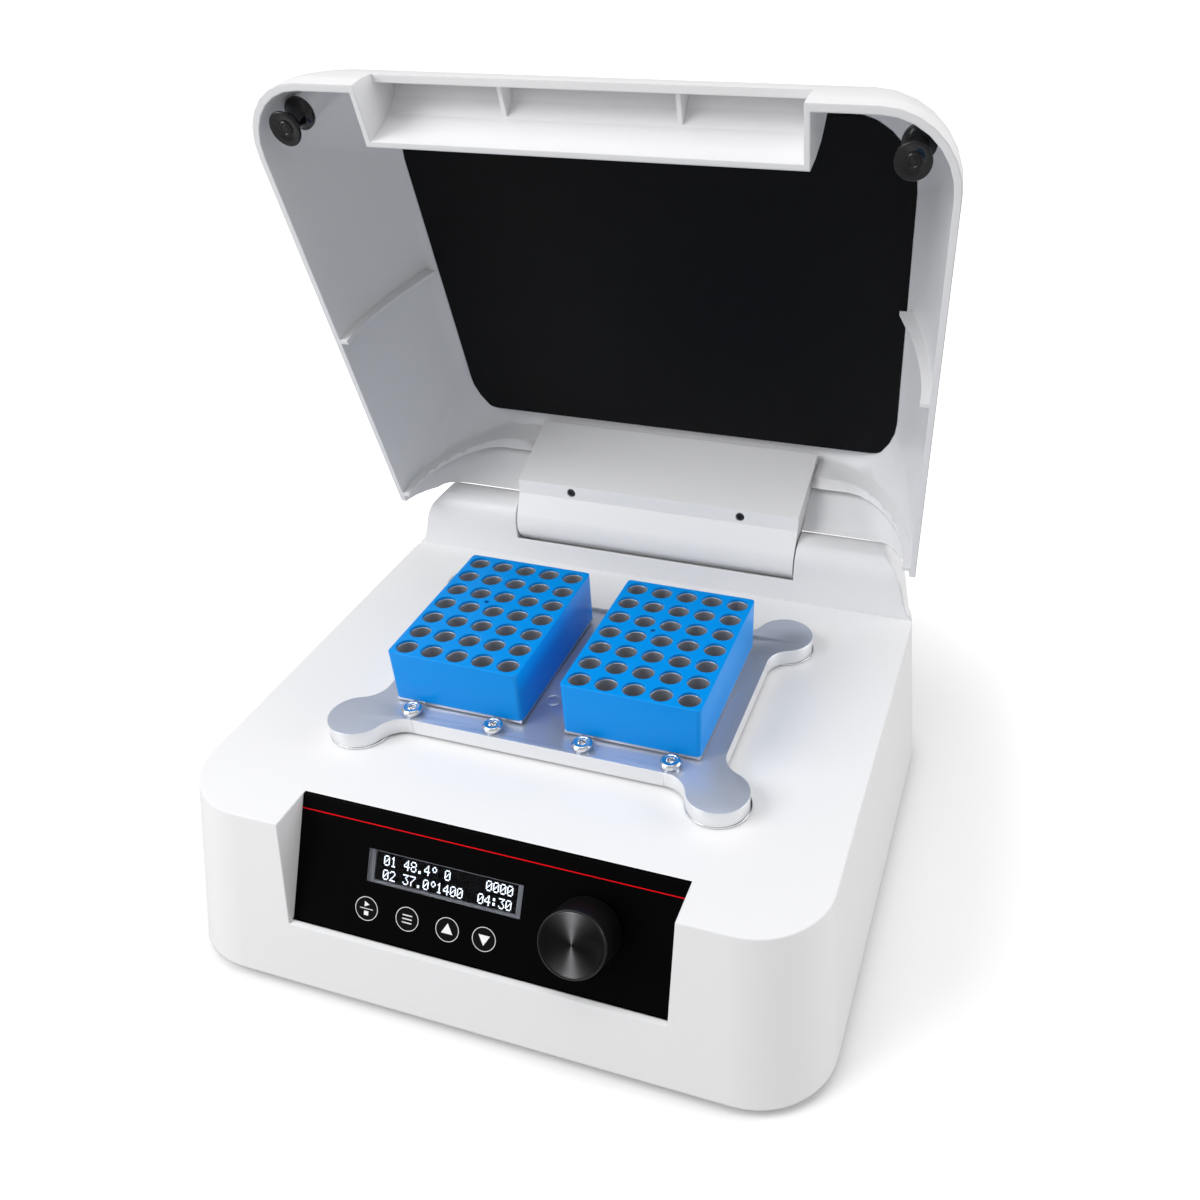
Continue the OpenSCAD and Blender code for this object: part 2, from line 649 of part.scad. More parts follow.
module counterweight() {
  color([0.6, 0.55, 0.4]) translate([0, drive_y, crank_z0 + 2]) difference() {
    union() {
      cylinder(r = crank_hub_r + 5, h = 9);
      intersection() {
        cylinder(r = 38, h = 9);
        translate([-40, 6, 0]) cube([80, 40, 9]);
      }
    }
    translate([0, 0, -1]) cylinder(r = crank_hub_r + snug, h = 20);
  }
}

// ---------- platform and blocks ----------

// a rectangle with an ear at each corner, joined by hollow fillets of radius f
module platform_body(f, h) {
  difference() {
    union() {
      translate([-plate_w / 2, -plate_d / 2, 0]) cube([plate_w, plate_d, h]);
      for (e = ears) translate(e) cylinder(r = ear_r, h = h, $fn = 64);
      // wedges that the fillets are cut from
      quadrants() {
        linear_extrude(h) polygon([[plate_w / 2 - 30, plate_d / 2 - 6], [fillet_x(f)[0] - 1, plate_d / 2 - 1], fillet_x(f), ears[3]]);
        linear_extrude(h) polygon([[plate_w / 2 - 6, plate_d / 2 - 30], [plate_w / 2 - 1, fillet_y(f)[1] - 1], fillet_y(f), ears[3]]);
      }
    }
    quadrants() for (c = [fillet_x(f), fillet_y(f)]) translate([c[0], c[1], -1]) cylinder(r = f, h = h + 2, $fn = 64);
  }
}

// centres of the fillets of radius f that touch an edge of the plate and an ear
function fillet_x(f) = let (dy = plate_d / 2 + f - ear_y / 2) [ear_x / 2 - sqrt(pow(ear_r + f, 2) - dy * dy), plate_d / 2 + f];
function fillet_y(f) = let (dx = plate_w / 2 + f - ear_x / 2) [plate_w / 2 + f, ear_y / 2 - sqrt(pow(ear_r + f, 2) - dx * dx)];

module platform() {
  color([0.78, 0.79, 0.82]) difference() {
    translate([0, 0, plate_z0]) platform_body(14, plate_t);
    for (e = concat(ears, [[0, 0]])) translate([e[0], e[1], plate_z0 - 1]) cylinder(r = pin_d / 2 + bush_t + snug, h = bush_h + 1);
    for (sx = [-1, 1], bx = [-1, 1], by = [-1, 1])
      translate([sx * block_x + bx * block_screw_x / 2, by * block_screw_y / 2, plate_z0 - 1]) cylinder(r = 2.5, h = 20);
    translate([-4.6, -25.8, plate_z1 - 0.3]) pipe(4.2, 3.6, 1);
  }
}

module platform_bushes() {
  color([0.72, 0.6, 0.35]) for (e = concat(ears, [[0, 0]])) translate([e[0], e[1], plate_z0])
    pipe(pin_d / 2 + bush_t, pin_d / 2 + run, bush_h - snug);
}

module heater_mats() {
  color([0.05, 0.05, 0.05]) for (sx = [-1, 1]) translate([sx * block_x, 0, plate_z1 + heater_t / 2])
    cube([cover_w - 4, cover_d - 4, heater_t], center = true);
}

module wells(d, depth, z) {
  for (i = [0:cols - 1], j = [0:rows - 1])
    translate([(i - (cols - 1) / 2) * pitch, (j - (rows - 1) / 2) * pitch, z - depth]) cylinder(r = d / 2, h = depth + 5, $fn = 32);
}

module block(sx) {
  color([0.75, 0.76, 0.78]) translate([sx * block_x, 0, 0]) difference() {
    union() {
      translate([-cover_w / 2 + 0.4, -cover_d / 2 + 0.4, heater_z1]) cube([cover_w - 0.8, cover_d - 0.8, flange_t]);
      translate([-cover_w / 2 + cover_t + 0.1, -cover_d / 2 + cover_t + 0.1, heater_z1])
        cube([cover_w - 2 * cover_t - 0.2, cover_d - 2 * cover_t - 0.2, block_z1 - heater_z1]);
    }
    wells(well_d, well_depth, block_z1);
    translate([-pitch / 2, pitch / 2, block_z1 - 12]) cylinder(r = 1.2, h = 20);
    for (bx = [-1, 1], by = [-1, 1]) translate([bx * block_screw_x / 2, by * block_screw_y / 2, heater_z1 - 1])
      cylinder(r = block_screw_d / 2 + 3, h = flange_t + 1);
  }
}

module block_left() { block(-1); }
module block_right() { block(1); }

module cover(sx) {
  color([0.02, 0.45, 0.85]) translate([sx * block_x, 0, 0]) difference() {
    translate([0, 0, flange_z1]) linear_extrude(cover_h) polygon(rounded(cover_w / 2, -cover_d / 2, cover_d / 2, 2.5, 2.5, 4));
    translate([-cover_w / 2 + cover_t, -cover_d / 2 + cover_t, flange_z1 - 1]) cube([cover_w - 2 * cover_t, cover_d - 2 * cover_t, cover_h - cover_t + 1]);
    wells(well_d + 0.5, 10, cover_z1);
    translate([-pitch / 2, pitch / 2, cover_z1 - 12]) cylinder(r = 1.4, h = 20);
  }
}

module cover_left() { cover(-1); }
module cover_right() { cover(1); }

module block_screws() {
  r = block_screw_d / 2;
  color([0.8, 0.8, 0.82]) for (sx = [-1, 1], bx = [-1, 1], by = [-1, 1])
    translate([sx * block_x + bx * block_screw_x / 2, by * block_screw_y / 2, plate_z1]) difference() {
      rotate_extrude() polygon([[0, 1 - plate_t], [2.45, 1 - plate_t], [2.45, 0], [r - 1.3, 0], [r - 1.3, 1.7], [r, 1.9],
        [r, block_screw_head - 0.8], [r - 0.8, block_screw_head], [r - 1.5, block_screw_head],
        [r - 1.8, block_screw_head - 0.3], [0, block_screw_head - 0.3]]);
      translate([0, 0, block_screw_head * 0.4]) cylinder(r = socket_af / sqrt(3), h = block_screw_head, $fn = 6);
    }
}

// ---------- hinge ----------

module hinge_pin() {
  color([0.7, 0.7, 0.72]) translate([-slot_w / 2 - 8, hinge_y, hinge_z]) rotate([0, 90, 0]) cylinder(r = pin_r, h = slot_w + 16);
}

module hinge_clutches() {
  color([0.3, 0.3, 0.32]) lid_pose() translate([0, hinge_y, hinge_z]) for (sx = [-1, 1]) translate([sx * 60 - 12, 0, 0])
    rotate([0, 90, 0]) difference() {
      cylinder(r = 8, h = 24);
      translate([0, 0, -1]) cylinder(r = pin_r + run, h = 40);
    }
}

// ---------- lid, drawn closed ----------

// outline of the lid's dome at level h (0 at the rim, 1 at the top), w inside its outer face
function dome_at(h, w) = let (k = pow(h, 1.6), r = lid_top_r * (1 - sqrt(1 - pow(max(0, (h - 0.9) / 0.1), 2))))
  rounded(lid_w / 2 - w - lid_side * k - r, -lid_front + w + lid_nose * k + r, lid_rear - w - lid_rear_in * k - r,
    lid_corner - w + 6 * k, 17 - w + 23 * h, 7);

module dome(w) {
  hs = [0, 0.1, 0.2, 0.31, 0.42, 0.54, 0.66, 0.78, 0.9, 0.93, 0.96, 0.985, 1];
  loft([for (h = hs) dome_at(h, w)], [for (h = hs) rim_z + (lid_h - w) * h]);
}

// region behind the lid's rear edge, which clears the riser
module behind() {
  translate([0, hinge_y, hinge_z]) rotate([0, 90, 0]) cylinder(r = clear_r, h = lid_w + 2, center = true, $fn = 96);
  along_x(lid_w + 2) polygon([[lid_cut_y, rim_z - 5], [lid_cut_y, rim_z], [hinge_y - clear_r, hinge_z - 2],
    [hinge_y - clear_r, hinge_z], [hinge_y + 40, hinge_z], [hinge_y + 40, rim_z - 5]]);
}

module grip_profile(w) {
  y1 = -bulkhead_y + w;
  polygon([[y1, rim_z - 1], [y1, rim_z + 10], [y1 - 2, rim_z + 20], [y1 - 6, rim_z + 28], [y1 - 12, rim_z + 34 + w],
    [-lid_front - 2, rim_z + 38 + w], [-lid_front - 2, rim_z - 1]]);
}

module ribs() {
  intersection() {
    difference() { dome(lid_wall - 0.5); translate([0, 0, -0.01]) dome(lid_wall + rib_h); }
    union() {
      for (y = [-5, 104]) translate([-200, y - rib_t / 2, rim_z]) cube([400, rib_t, 90]);
    }
  }
}

module lid_shell() {
  color([0.92, 0.92, 0.92]) lid_pose() difference() {
    union() {
      difference() {
        dome(0);
        translate([0, 0, -0.01]) dome(lid_wall);
      }
      difference() {
        ribs();
        // the middle ribs stop at the pad
        translate([-lid_w / 2, -60, pad_z0 - 6.3]) cube([lid_w, 100, 60]);
        // the rear arch stops at the hinge's cover
        translate([-hinge_w / 2 - 0.5, 60, rim_z]) cube([hinge_w + 1, 80, 90]);
      }
      // wall and dividers of the finger recess
      intersection() {
        dome(0.5);
        union() {
          difference() {
            along_x(grip_w + 5) grip_profile(2.5);
            along_x(grip_w) grip_profile(0);
          }
          for (sx = [-1, 1]) translate([sx * 40, 0, 0]) along_x(2.2)
            polygon([[-bulkhead_y + 1, rim_z + 21], [-lid_front, rim_z + 21], [-lid_front, rim_z + 60], [-bulkhead_y + 1, rim_z + 60]]);
        }
      }
      // bosses of the buffers
      intersection() {
        dome(0.5);
        mirrored() translate([buffer_x, buffer_y, rim_z + 16]) cylinder(r = 6.6, h = 60);
      }
    }
    behind();
    // place of the hinge's cover in the rear wall
    translate([-hinge_w / 2 - 0.3, hinge_y - 40.3, rim_z - 1]) cube([hinge_w + 0.6, 60, hinge_z + 17.3 - rim_z + 1]);
    // opening for the fingers
    translate([-grip_w / 2, -lid_front - 20, rim_z - 1]) cube([grip_w, 30, grip_h + 1]);
    // screws of the buffers
    mirrored() translate([buffer_x, buffer_y, rim_z + 15]) cylinder(r = 1.6, h = 12);
  }
}

module lid_pad() {
  color([0.04, 0.04, 0.05]) lid_pose() intersection() {
    dome(lid_wall + 0.15);
    translate([0, 0, pad_z0]) linear_extrude(pad_t + 1)
      polygon(rounded(lid_w / 2 - 27, -lid_front + 40.5, hinge_y - 38, 14, 14, 6));
  }
}

module lid_buffers() {
  color([0.06, 0.06, 0.06]) lid_pose() mirrored() translate([buffer_x, buffer_y, rim_z - 0.2]) difference() {
    rotate_extrude() polygon([[0, 0.6], [2.6, 0.6], [3, 0], [buffer_d / 2 - 0.8, 0], [buffer_d / 2, 0.8], [buffer_d / 2, 4],
      [buffer_d / 2 - 0.8, 5], [4.4, 6.5], [4.4, 12], [buffer_d / 2 - 0.4, 13.4], [buffer_d / 2 - 0.4, 16], [0, 16]]);
    translate([0, 0, -1]) cylinder(r = 1.7, h = 40);
  }
}

module hinge_cover() {
  color([0.94, 0.94, 0.94]) lid_pose() difference() {
    union() {
      translate([0, hinge_y, hinge_z]) rotate([0, 90, 0]) cylinder(r = barrel_r, h = hinge_w, center = true, $fn = 96);
      intersection() {
        // relative to the axis, lid closed
        translate([0, hinge_y, hinge_z]) along_x(hinge_w) polygon([[-19.5, -0.3], [-26.9, 2.5], [-32.7, 51.3],
          [-22, 51.3], [-5, 14.6], [-2, 2], [-9.9, -9.9]]);
        union() {
          dome(lid_wall + 0.1);
          intersection() { dome(0); translate([-200, hinge_y - 40, hinge_z - 20]) cube([400, 40, 37]); }
        }
      }
    }
    translate([0, hinge_y, hinge_z]) rotate([0, 90, 0]) cylinder(r = pin_r + run, h = 400, center = true);
    for (sx = [-1, 1]) translate([sx * 60, hinge_y, hinge_z]) rotate([0, 90, 0]) cylinder(r = 8 + snug, h = 24.04, center = true);
    mirrored() hinge_face() {
      translate([0, 0, -1]) cylinder(r = 2.6, h = 2.8);
      cylinder(r = 1.5 + snug, h = 13);
    }
  }
}

// middle of a screw's place on the narrow face of the hinge's cover, z inwards
module hinge_face() { translate([hinge_screw_x, hinge_y - 23.2, hinge_z + 1.1]) rotate([-20.7, 0, 0]) children(); }

module hinge_screws() {
  color([0.5, 0.5, 0.5]) lid_pose() mirrored() hinge_face() translate([0, 0, 1.8]) rotate([180, 0, 0])
    cap_screw(5, 1.6, 3, 10, 2.4);
}

upper_housing();
base_plate();
feet();
base_screws();
control_panel();
display_window();
display_module();
key_board();
encoder_body();
encoder_plunger();
knob();
knob_face();
key_1();
key_2();
key_up();
key_down();
main_board();
power_supply();
mains_inlet();
inlet_screws();
power_switch();
switch_rocker();
drive_deck();
deck_pillars();
deck_screws();
idler_posts();
drive_motor();
motor_screws();
crankshaft();
counterweight();
idler_front_left();
idler_front_right();
idler_rear_left();
idler_rear_right();
platform();
platform_bushes();
heater_mats();
block_left();
block_right();
cover_left();
cover_right();
block_screws();
hinge_pin();
hinge_clutches();
lid_shell();
lid_pad();
lid_buffers();
hinge_cover();
hinge_screws();
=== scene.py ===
import json
import math

import bmesh
import bpy
from mathutils import Matrix, Vector


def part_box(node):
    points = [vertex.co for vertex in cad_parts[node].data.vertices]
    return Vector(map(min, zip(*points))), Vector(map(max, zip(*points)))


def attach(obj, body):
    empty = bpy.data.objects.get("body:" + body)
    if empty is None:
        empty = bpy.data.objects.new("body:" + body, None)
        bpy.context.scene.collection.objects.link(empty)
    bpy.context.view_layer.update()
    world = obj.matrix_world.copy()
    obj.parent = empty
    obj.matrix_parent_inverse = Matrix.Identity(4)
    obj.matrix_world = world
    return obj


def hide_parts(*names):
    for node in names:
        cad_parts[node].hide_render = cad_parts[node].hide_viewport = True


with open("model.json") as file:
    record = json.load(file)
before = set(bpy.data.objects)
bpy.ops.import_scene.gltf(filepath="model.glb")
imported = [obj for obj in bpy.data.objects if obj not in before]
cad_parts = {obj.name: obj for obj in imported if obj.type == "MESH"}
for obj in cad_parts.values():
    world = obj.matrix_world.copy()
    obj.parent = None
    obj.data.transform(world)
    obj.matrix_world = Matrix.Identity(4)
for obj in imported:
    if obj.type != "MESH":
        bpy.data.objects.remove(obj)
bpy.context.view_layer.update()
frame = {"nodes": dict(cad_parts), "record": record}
scene = bpy.context.scene
mm = 0.001
print("frame loaded:", len(frame["nodes"]), "nodes")


# shader groups, each built once and placed with its own values

def newGroup(name, inputs, outputs):
    group = bpy.data.node_groups.new(name, "ShaderNodeTree")
    for label, kind, value in inputs:
        socket = group.interface.new_socket(label, in_out="INPUT", socket_type=kind)
        socket.default_value = value
    for label, kind in outputs:
        group.interface.new_socket(label, in_out="OUTPUT", socket_type=kind)
    return group, group.nodes.new("NodeGroupInput"), group.nodes.new("NodeGroupOutput")


def mathNode(tree, operation, a, b=None, clamp=False):
    node = tree.nodes.new("ShaderNodeMath")
    node.operation = operation
    node.use_clamp = clamp
    for slot, value in enumerate((a, b)):
        if value is None:
            continue
        if isinstance(value, (int, float)):
            node.inputs[slot].default_value = value
        else:
            tree.links.new(value, node.inputs[slot])
    return node.outputs[0]


def makeGrainGroup():
    # fine moulded or blasted grain: a value for colour and roughness, and a height
    group, start, end = newGroup("fineGrain", [
        ("Scale", "NodeSocketFloat", 900.0), ("Patch Scale", "NodeSocketFloat", 14.0),
        ("Patch Amount", "NodeSocketFloat", 0.5)],
        [("Value", "NodeSocketFloat"), ("Height", "NodeSocketFloat")])
    place = group.nodes.new("ShaderNodeTexCoord")
    fine = group.nodes.new("ShaderNodeTexNoise")
    fine.inputs["Detail"].default_value = 3
    fine.inputs["Roughness"].default_value = 0.6
    broad = group.nodes.new("ShaderNodeTexNoise")
    broad.inputs["Detail"].default_value = 4
    for node, socket in ((fine, "Scale"), (broad, "Patch Scale")):
        group.links.new(place.outputs["Object"], node.inputs["Vector"])
        group.links.new(start.outputs[socket], node.inputs["Scale"])
    patch = mathNode(group, "MULTIPLY", broad.outputs["Fac"], start.outputs["Patch Amount"])
    rest = mathNode(group, "SUBTRACT", 1.0, start.outputs["Patch Amount"])
    grain = mathNode(group, "MULTIPLY", fine.outputs["Fac"], rest)
    group.links.new(mathNode(group, "ADD", patch, grain, True), end.inputs["Value"])
    group.links.new(fine.outputs["Fac"], end.inputs["Height"])
    return group


def makeEdgeGroup():
    # softened edges: a rounded normal, and a mask that is 1 on the edge itself
    group, start, end = newGroup("softEdge", [("Radius", "NodeSocketFloat", 0.0008)],
                                 [("Normal", "NodeSocketVector"), ("Edge", "NodeSocketFloat")])
    bevel = group.nodes.new("ShaderNodeBevel")
    bevel.samples = 6
    shape = group.nodes.new("ShaderNodeNewGeometry")
    turn = group.nodes.new("ShaderNodeVectorMath")
    turn.operation = "DOT_PRODUCT"
    group.links.new(start.outputs["Radius"], bevel.inputs["Radius"])
    group.links.new(bevel.outputs["Normal"], turn.inputs[0])
    group.links.new(shape.outputs["Normal"], turn.inputs[1])
    away = mathNode(group, "SUBTRACT", 1.0, turn.outputs["Value"])
    group.links.new(mathNode(group, "MULTIPLY", away, 4.0, True), end.inputs["Edge"])
    group.links.new(bevel.outputs["Normal"], end.inputs["Normal"])
    return group


def makeBrushGroup():
    # turned lines about an axis: rings round the tilted axis through Centre
    group, start, end = newGroup("toolLines", [
        ("Centre", "NodeSocketVector", (0, 0, 0)), ("Tilt", "NodeSocketVector", (0, 0, 0)),
        ("Scale", "NodeSocketFloat", 900.0)],
        [("Value", "NodeSocketFloat"), ("Height", "NodeSocketFloat")])
    place = group.nodes.new("ShaderNodeTexCoord")
    shift = group.nodes.new("ShaderNodeVectorMath")
    shift.operation = "SUBTRACT"
    turn = group.nodes.new("ShaderNodeVectorRotate")
    turn.rotation_type = "EULER_XYZ"
    turn.invert = True
    flat = group.nodes.new("ShaderNodeVectorMath")
    flat.operation = "MULTIPLY"
    flat.inputs[1].default_value = (1, 1, 0)
    length = group.nodes.new("ShaderNodeVectorMath")
    length.operation = "LENGTH"
    noise = group.nodes.new("ShaderNodeTexNoise")
    noise.noise_dimensions = "1D"
    noise.inputs["Detail"].default_value = 4
    noise.inputs["Roughness"].default_value = 0.7
    group.links.new(place.outputs["Object"], shift.inputs[0])
    group.links.new(start.outputs["Centre"], shift.inputs[1])
    group.links.new(shift.outputs["Vector"], turn.inputs["Vector"])
    group.links.new(start.outputs["Tilt"], turn.inputs["Rotation"])
    group.links.new(turn.outputs["Vector"], flat.inputs[0])
    group.links.new(flat.outputs["Vector"], length.inputs[0])
    group.links.new(length.outputs["Value"], noise.inputs["W"])
    group.links.new(start.outputs["Scale"], noise.inputs["Scale"])
    group.links.new(noise.outputs["Fac"], end.inputs["Value"])
    group.links.new(noise.outputs["Fac"], end.inputs["Height"])
    return group


grainGroup = makeGrainGroup()
edgeGroup = makeEdgeGroup()
brushGroup = makeBrushGroup()


# one builder for plastics, rubbers and metals; each finish brings its own dictionary

def makeFinish(name, look):
    material = bpy.data.materials.new(name)
    material.use_nodes = True
    tree = material.node_tree
    shader = tree.nodes["Principled BSDF"]
    shader.inputs["Metallic"].default_value = look.get("metal", 0.0)
    shader.inputs["IOR"].default_value = look.get("ior", 1.46)
    shader.inputs["Coat Weight"].default_value = look.get("coat", 0.0)
    shader.inputs["Coat Roughness"].default_value = look.get("coatRough", 0.1)
    shader.inputs["Anisotropic"].default_value = look.get("aniso", 0.0)
    shader.inputs["Specular IOR Level"].default_value = look.get("shine", 0.5)
    grain = tree.nodes.new("ShaderNodeGroup")
    grain.node_tree = grainGroup
    grain.inputs["Scale"].default_value = look.get("grain", 900.0)
    grain.inputs["Patch Scale"].default_value = look.get("patch", 14.0)
    grain.inputs["Patch Amount"].default_value = look.get("patchAmount", 0.5)
    value, height = grain.outputs["Value"], grain.outputs["Height"]
    edge = tree.nodes.new("ShaderNodeGroup")
    edge.node_tree = edgeGroup
    edge.inputs["Radius"].default_value = look.get("edge", 0.6) * mm
    if "turned" in look:
        lines = tree.nodes.new("ShaderNodeGroup")
        lines.node_tree = brushGroup
        lines.inputs["Centre"].default_value = look["turned"]
        lines.inputs["Tilt"].default_value = look.get("tilt", (0, 0, 0))
        lines.inputs["Scale"].default_value = look.get("lines", 2500.0)
        value = mathNode(tree, "ADD", mathNode(tree, "MULTIPLY", lines.outputs["Value"], 0.7),
                      mathNode(tree, "MULTIPLY", grain.outputs["Value"], 0.3))
        height = lines.outputs["Height"]
    tone = tree.nodes.new("ShaderNodeMix")
    tone.data_type = "RGBA"
    colour, vary = look["colour"], look.get("vary", 0.04)
    tone.inputs["A"].default_value = [c * (1 - vary) for c in colour] + [1]
    tone.inputs["B"].default_value = [min(1, c * (1 + vary)) for c in colour] + [1]
    tree.links.new(value, tone.inputs["Factor"])
    # edges are mixed towards a lighter edge colour: a painted highlight along the edges, on the plate also
    # the polish of its edges
    edgeHighlightMix = tree.nodes.new("ShaderNodeMix")
    edgeHighlightMix.data_type = "RGBA"
    edgeHighlightMix.inputs["B"].default_value = list(look.get("edgeHighlightColour", colour)) + [1]
    tree.links.new(tone.outputs["Result"], edgeHighlightMix.inputs["A"])
    tree.links.new(mathNode(tree, "MULTIPLY", edge.outputs["Edge"], look.get("edgeHighlightAmount", 0.3)),
                   edgeHighlightMix.inputs["Factor"])
    tree.links.new(edgeHighlightMix.outputs["Result"], shader.inputs["Base Color"])
    rough, roughVary = look.get("rough", 0.4), look.get("roughVary", 0.06)
    spread = tree.nodes.new("ShaderNodeMapRange")
    spread.inputs["To Min"].default_value = rough - roughVary
    spread.inputs["To Max"].default_value = rough + roughVary
    tree.links.new(value, spread.inputs["Value"])
    tree.links.new(spread.outputs["Result"], shader.inputs["Roughness"])
    bump = tree.nodes.new("ShaderNodeBump")
    bump.inputs["Strength"].default_value = look.get("bump", 0.1)
    bump.inputs["Distance"].default_value = look.get("depth", 0.05) * mm
    tree.links.new(height, bump.inputs["Height"])
    tree.links.new(edge.outputs["Normal"], bump.inputs["Normal"])
    tree.links.new(bump.outputs["Normal"], shader.inputs["Normal"])
    return material


panelTilt = math.radians(59.5)
panelAt = Vector((0, -116.9 * mm, 98 * mm))
knobAt = (54.9, 32.5)


def onPanel():
    # panel frame: x across, y up the slope, z out of the face
    return Matrix.Translation(panelAt) @ Matrix.Rotation(panelTilt, 4, "X")


knobCentre = onPanel() @ Vector((knobAt[0] * mm, -knobAt[1] * mm, 0))

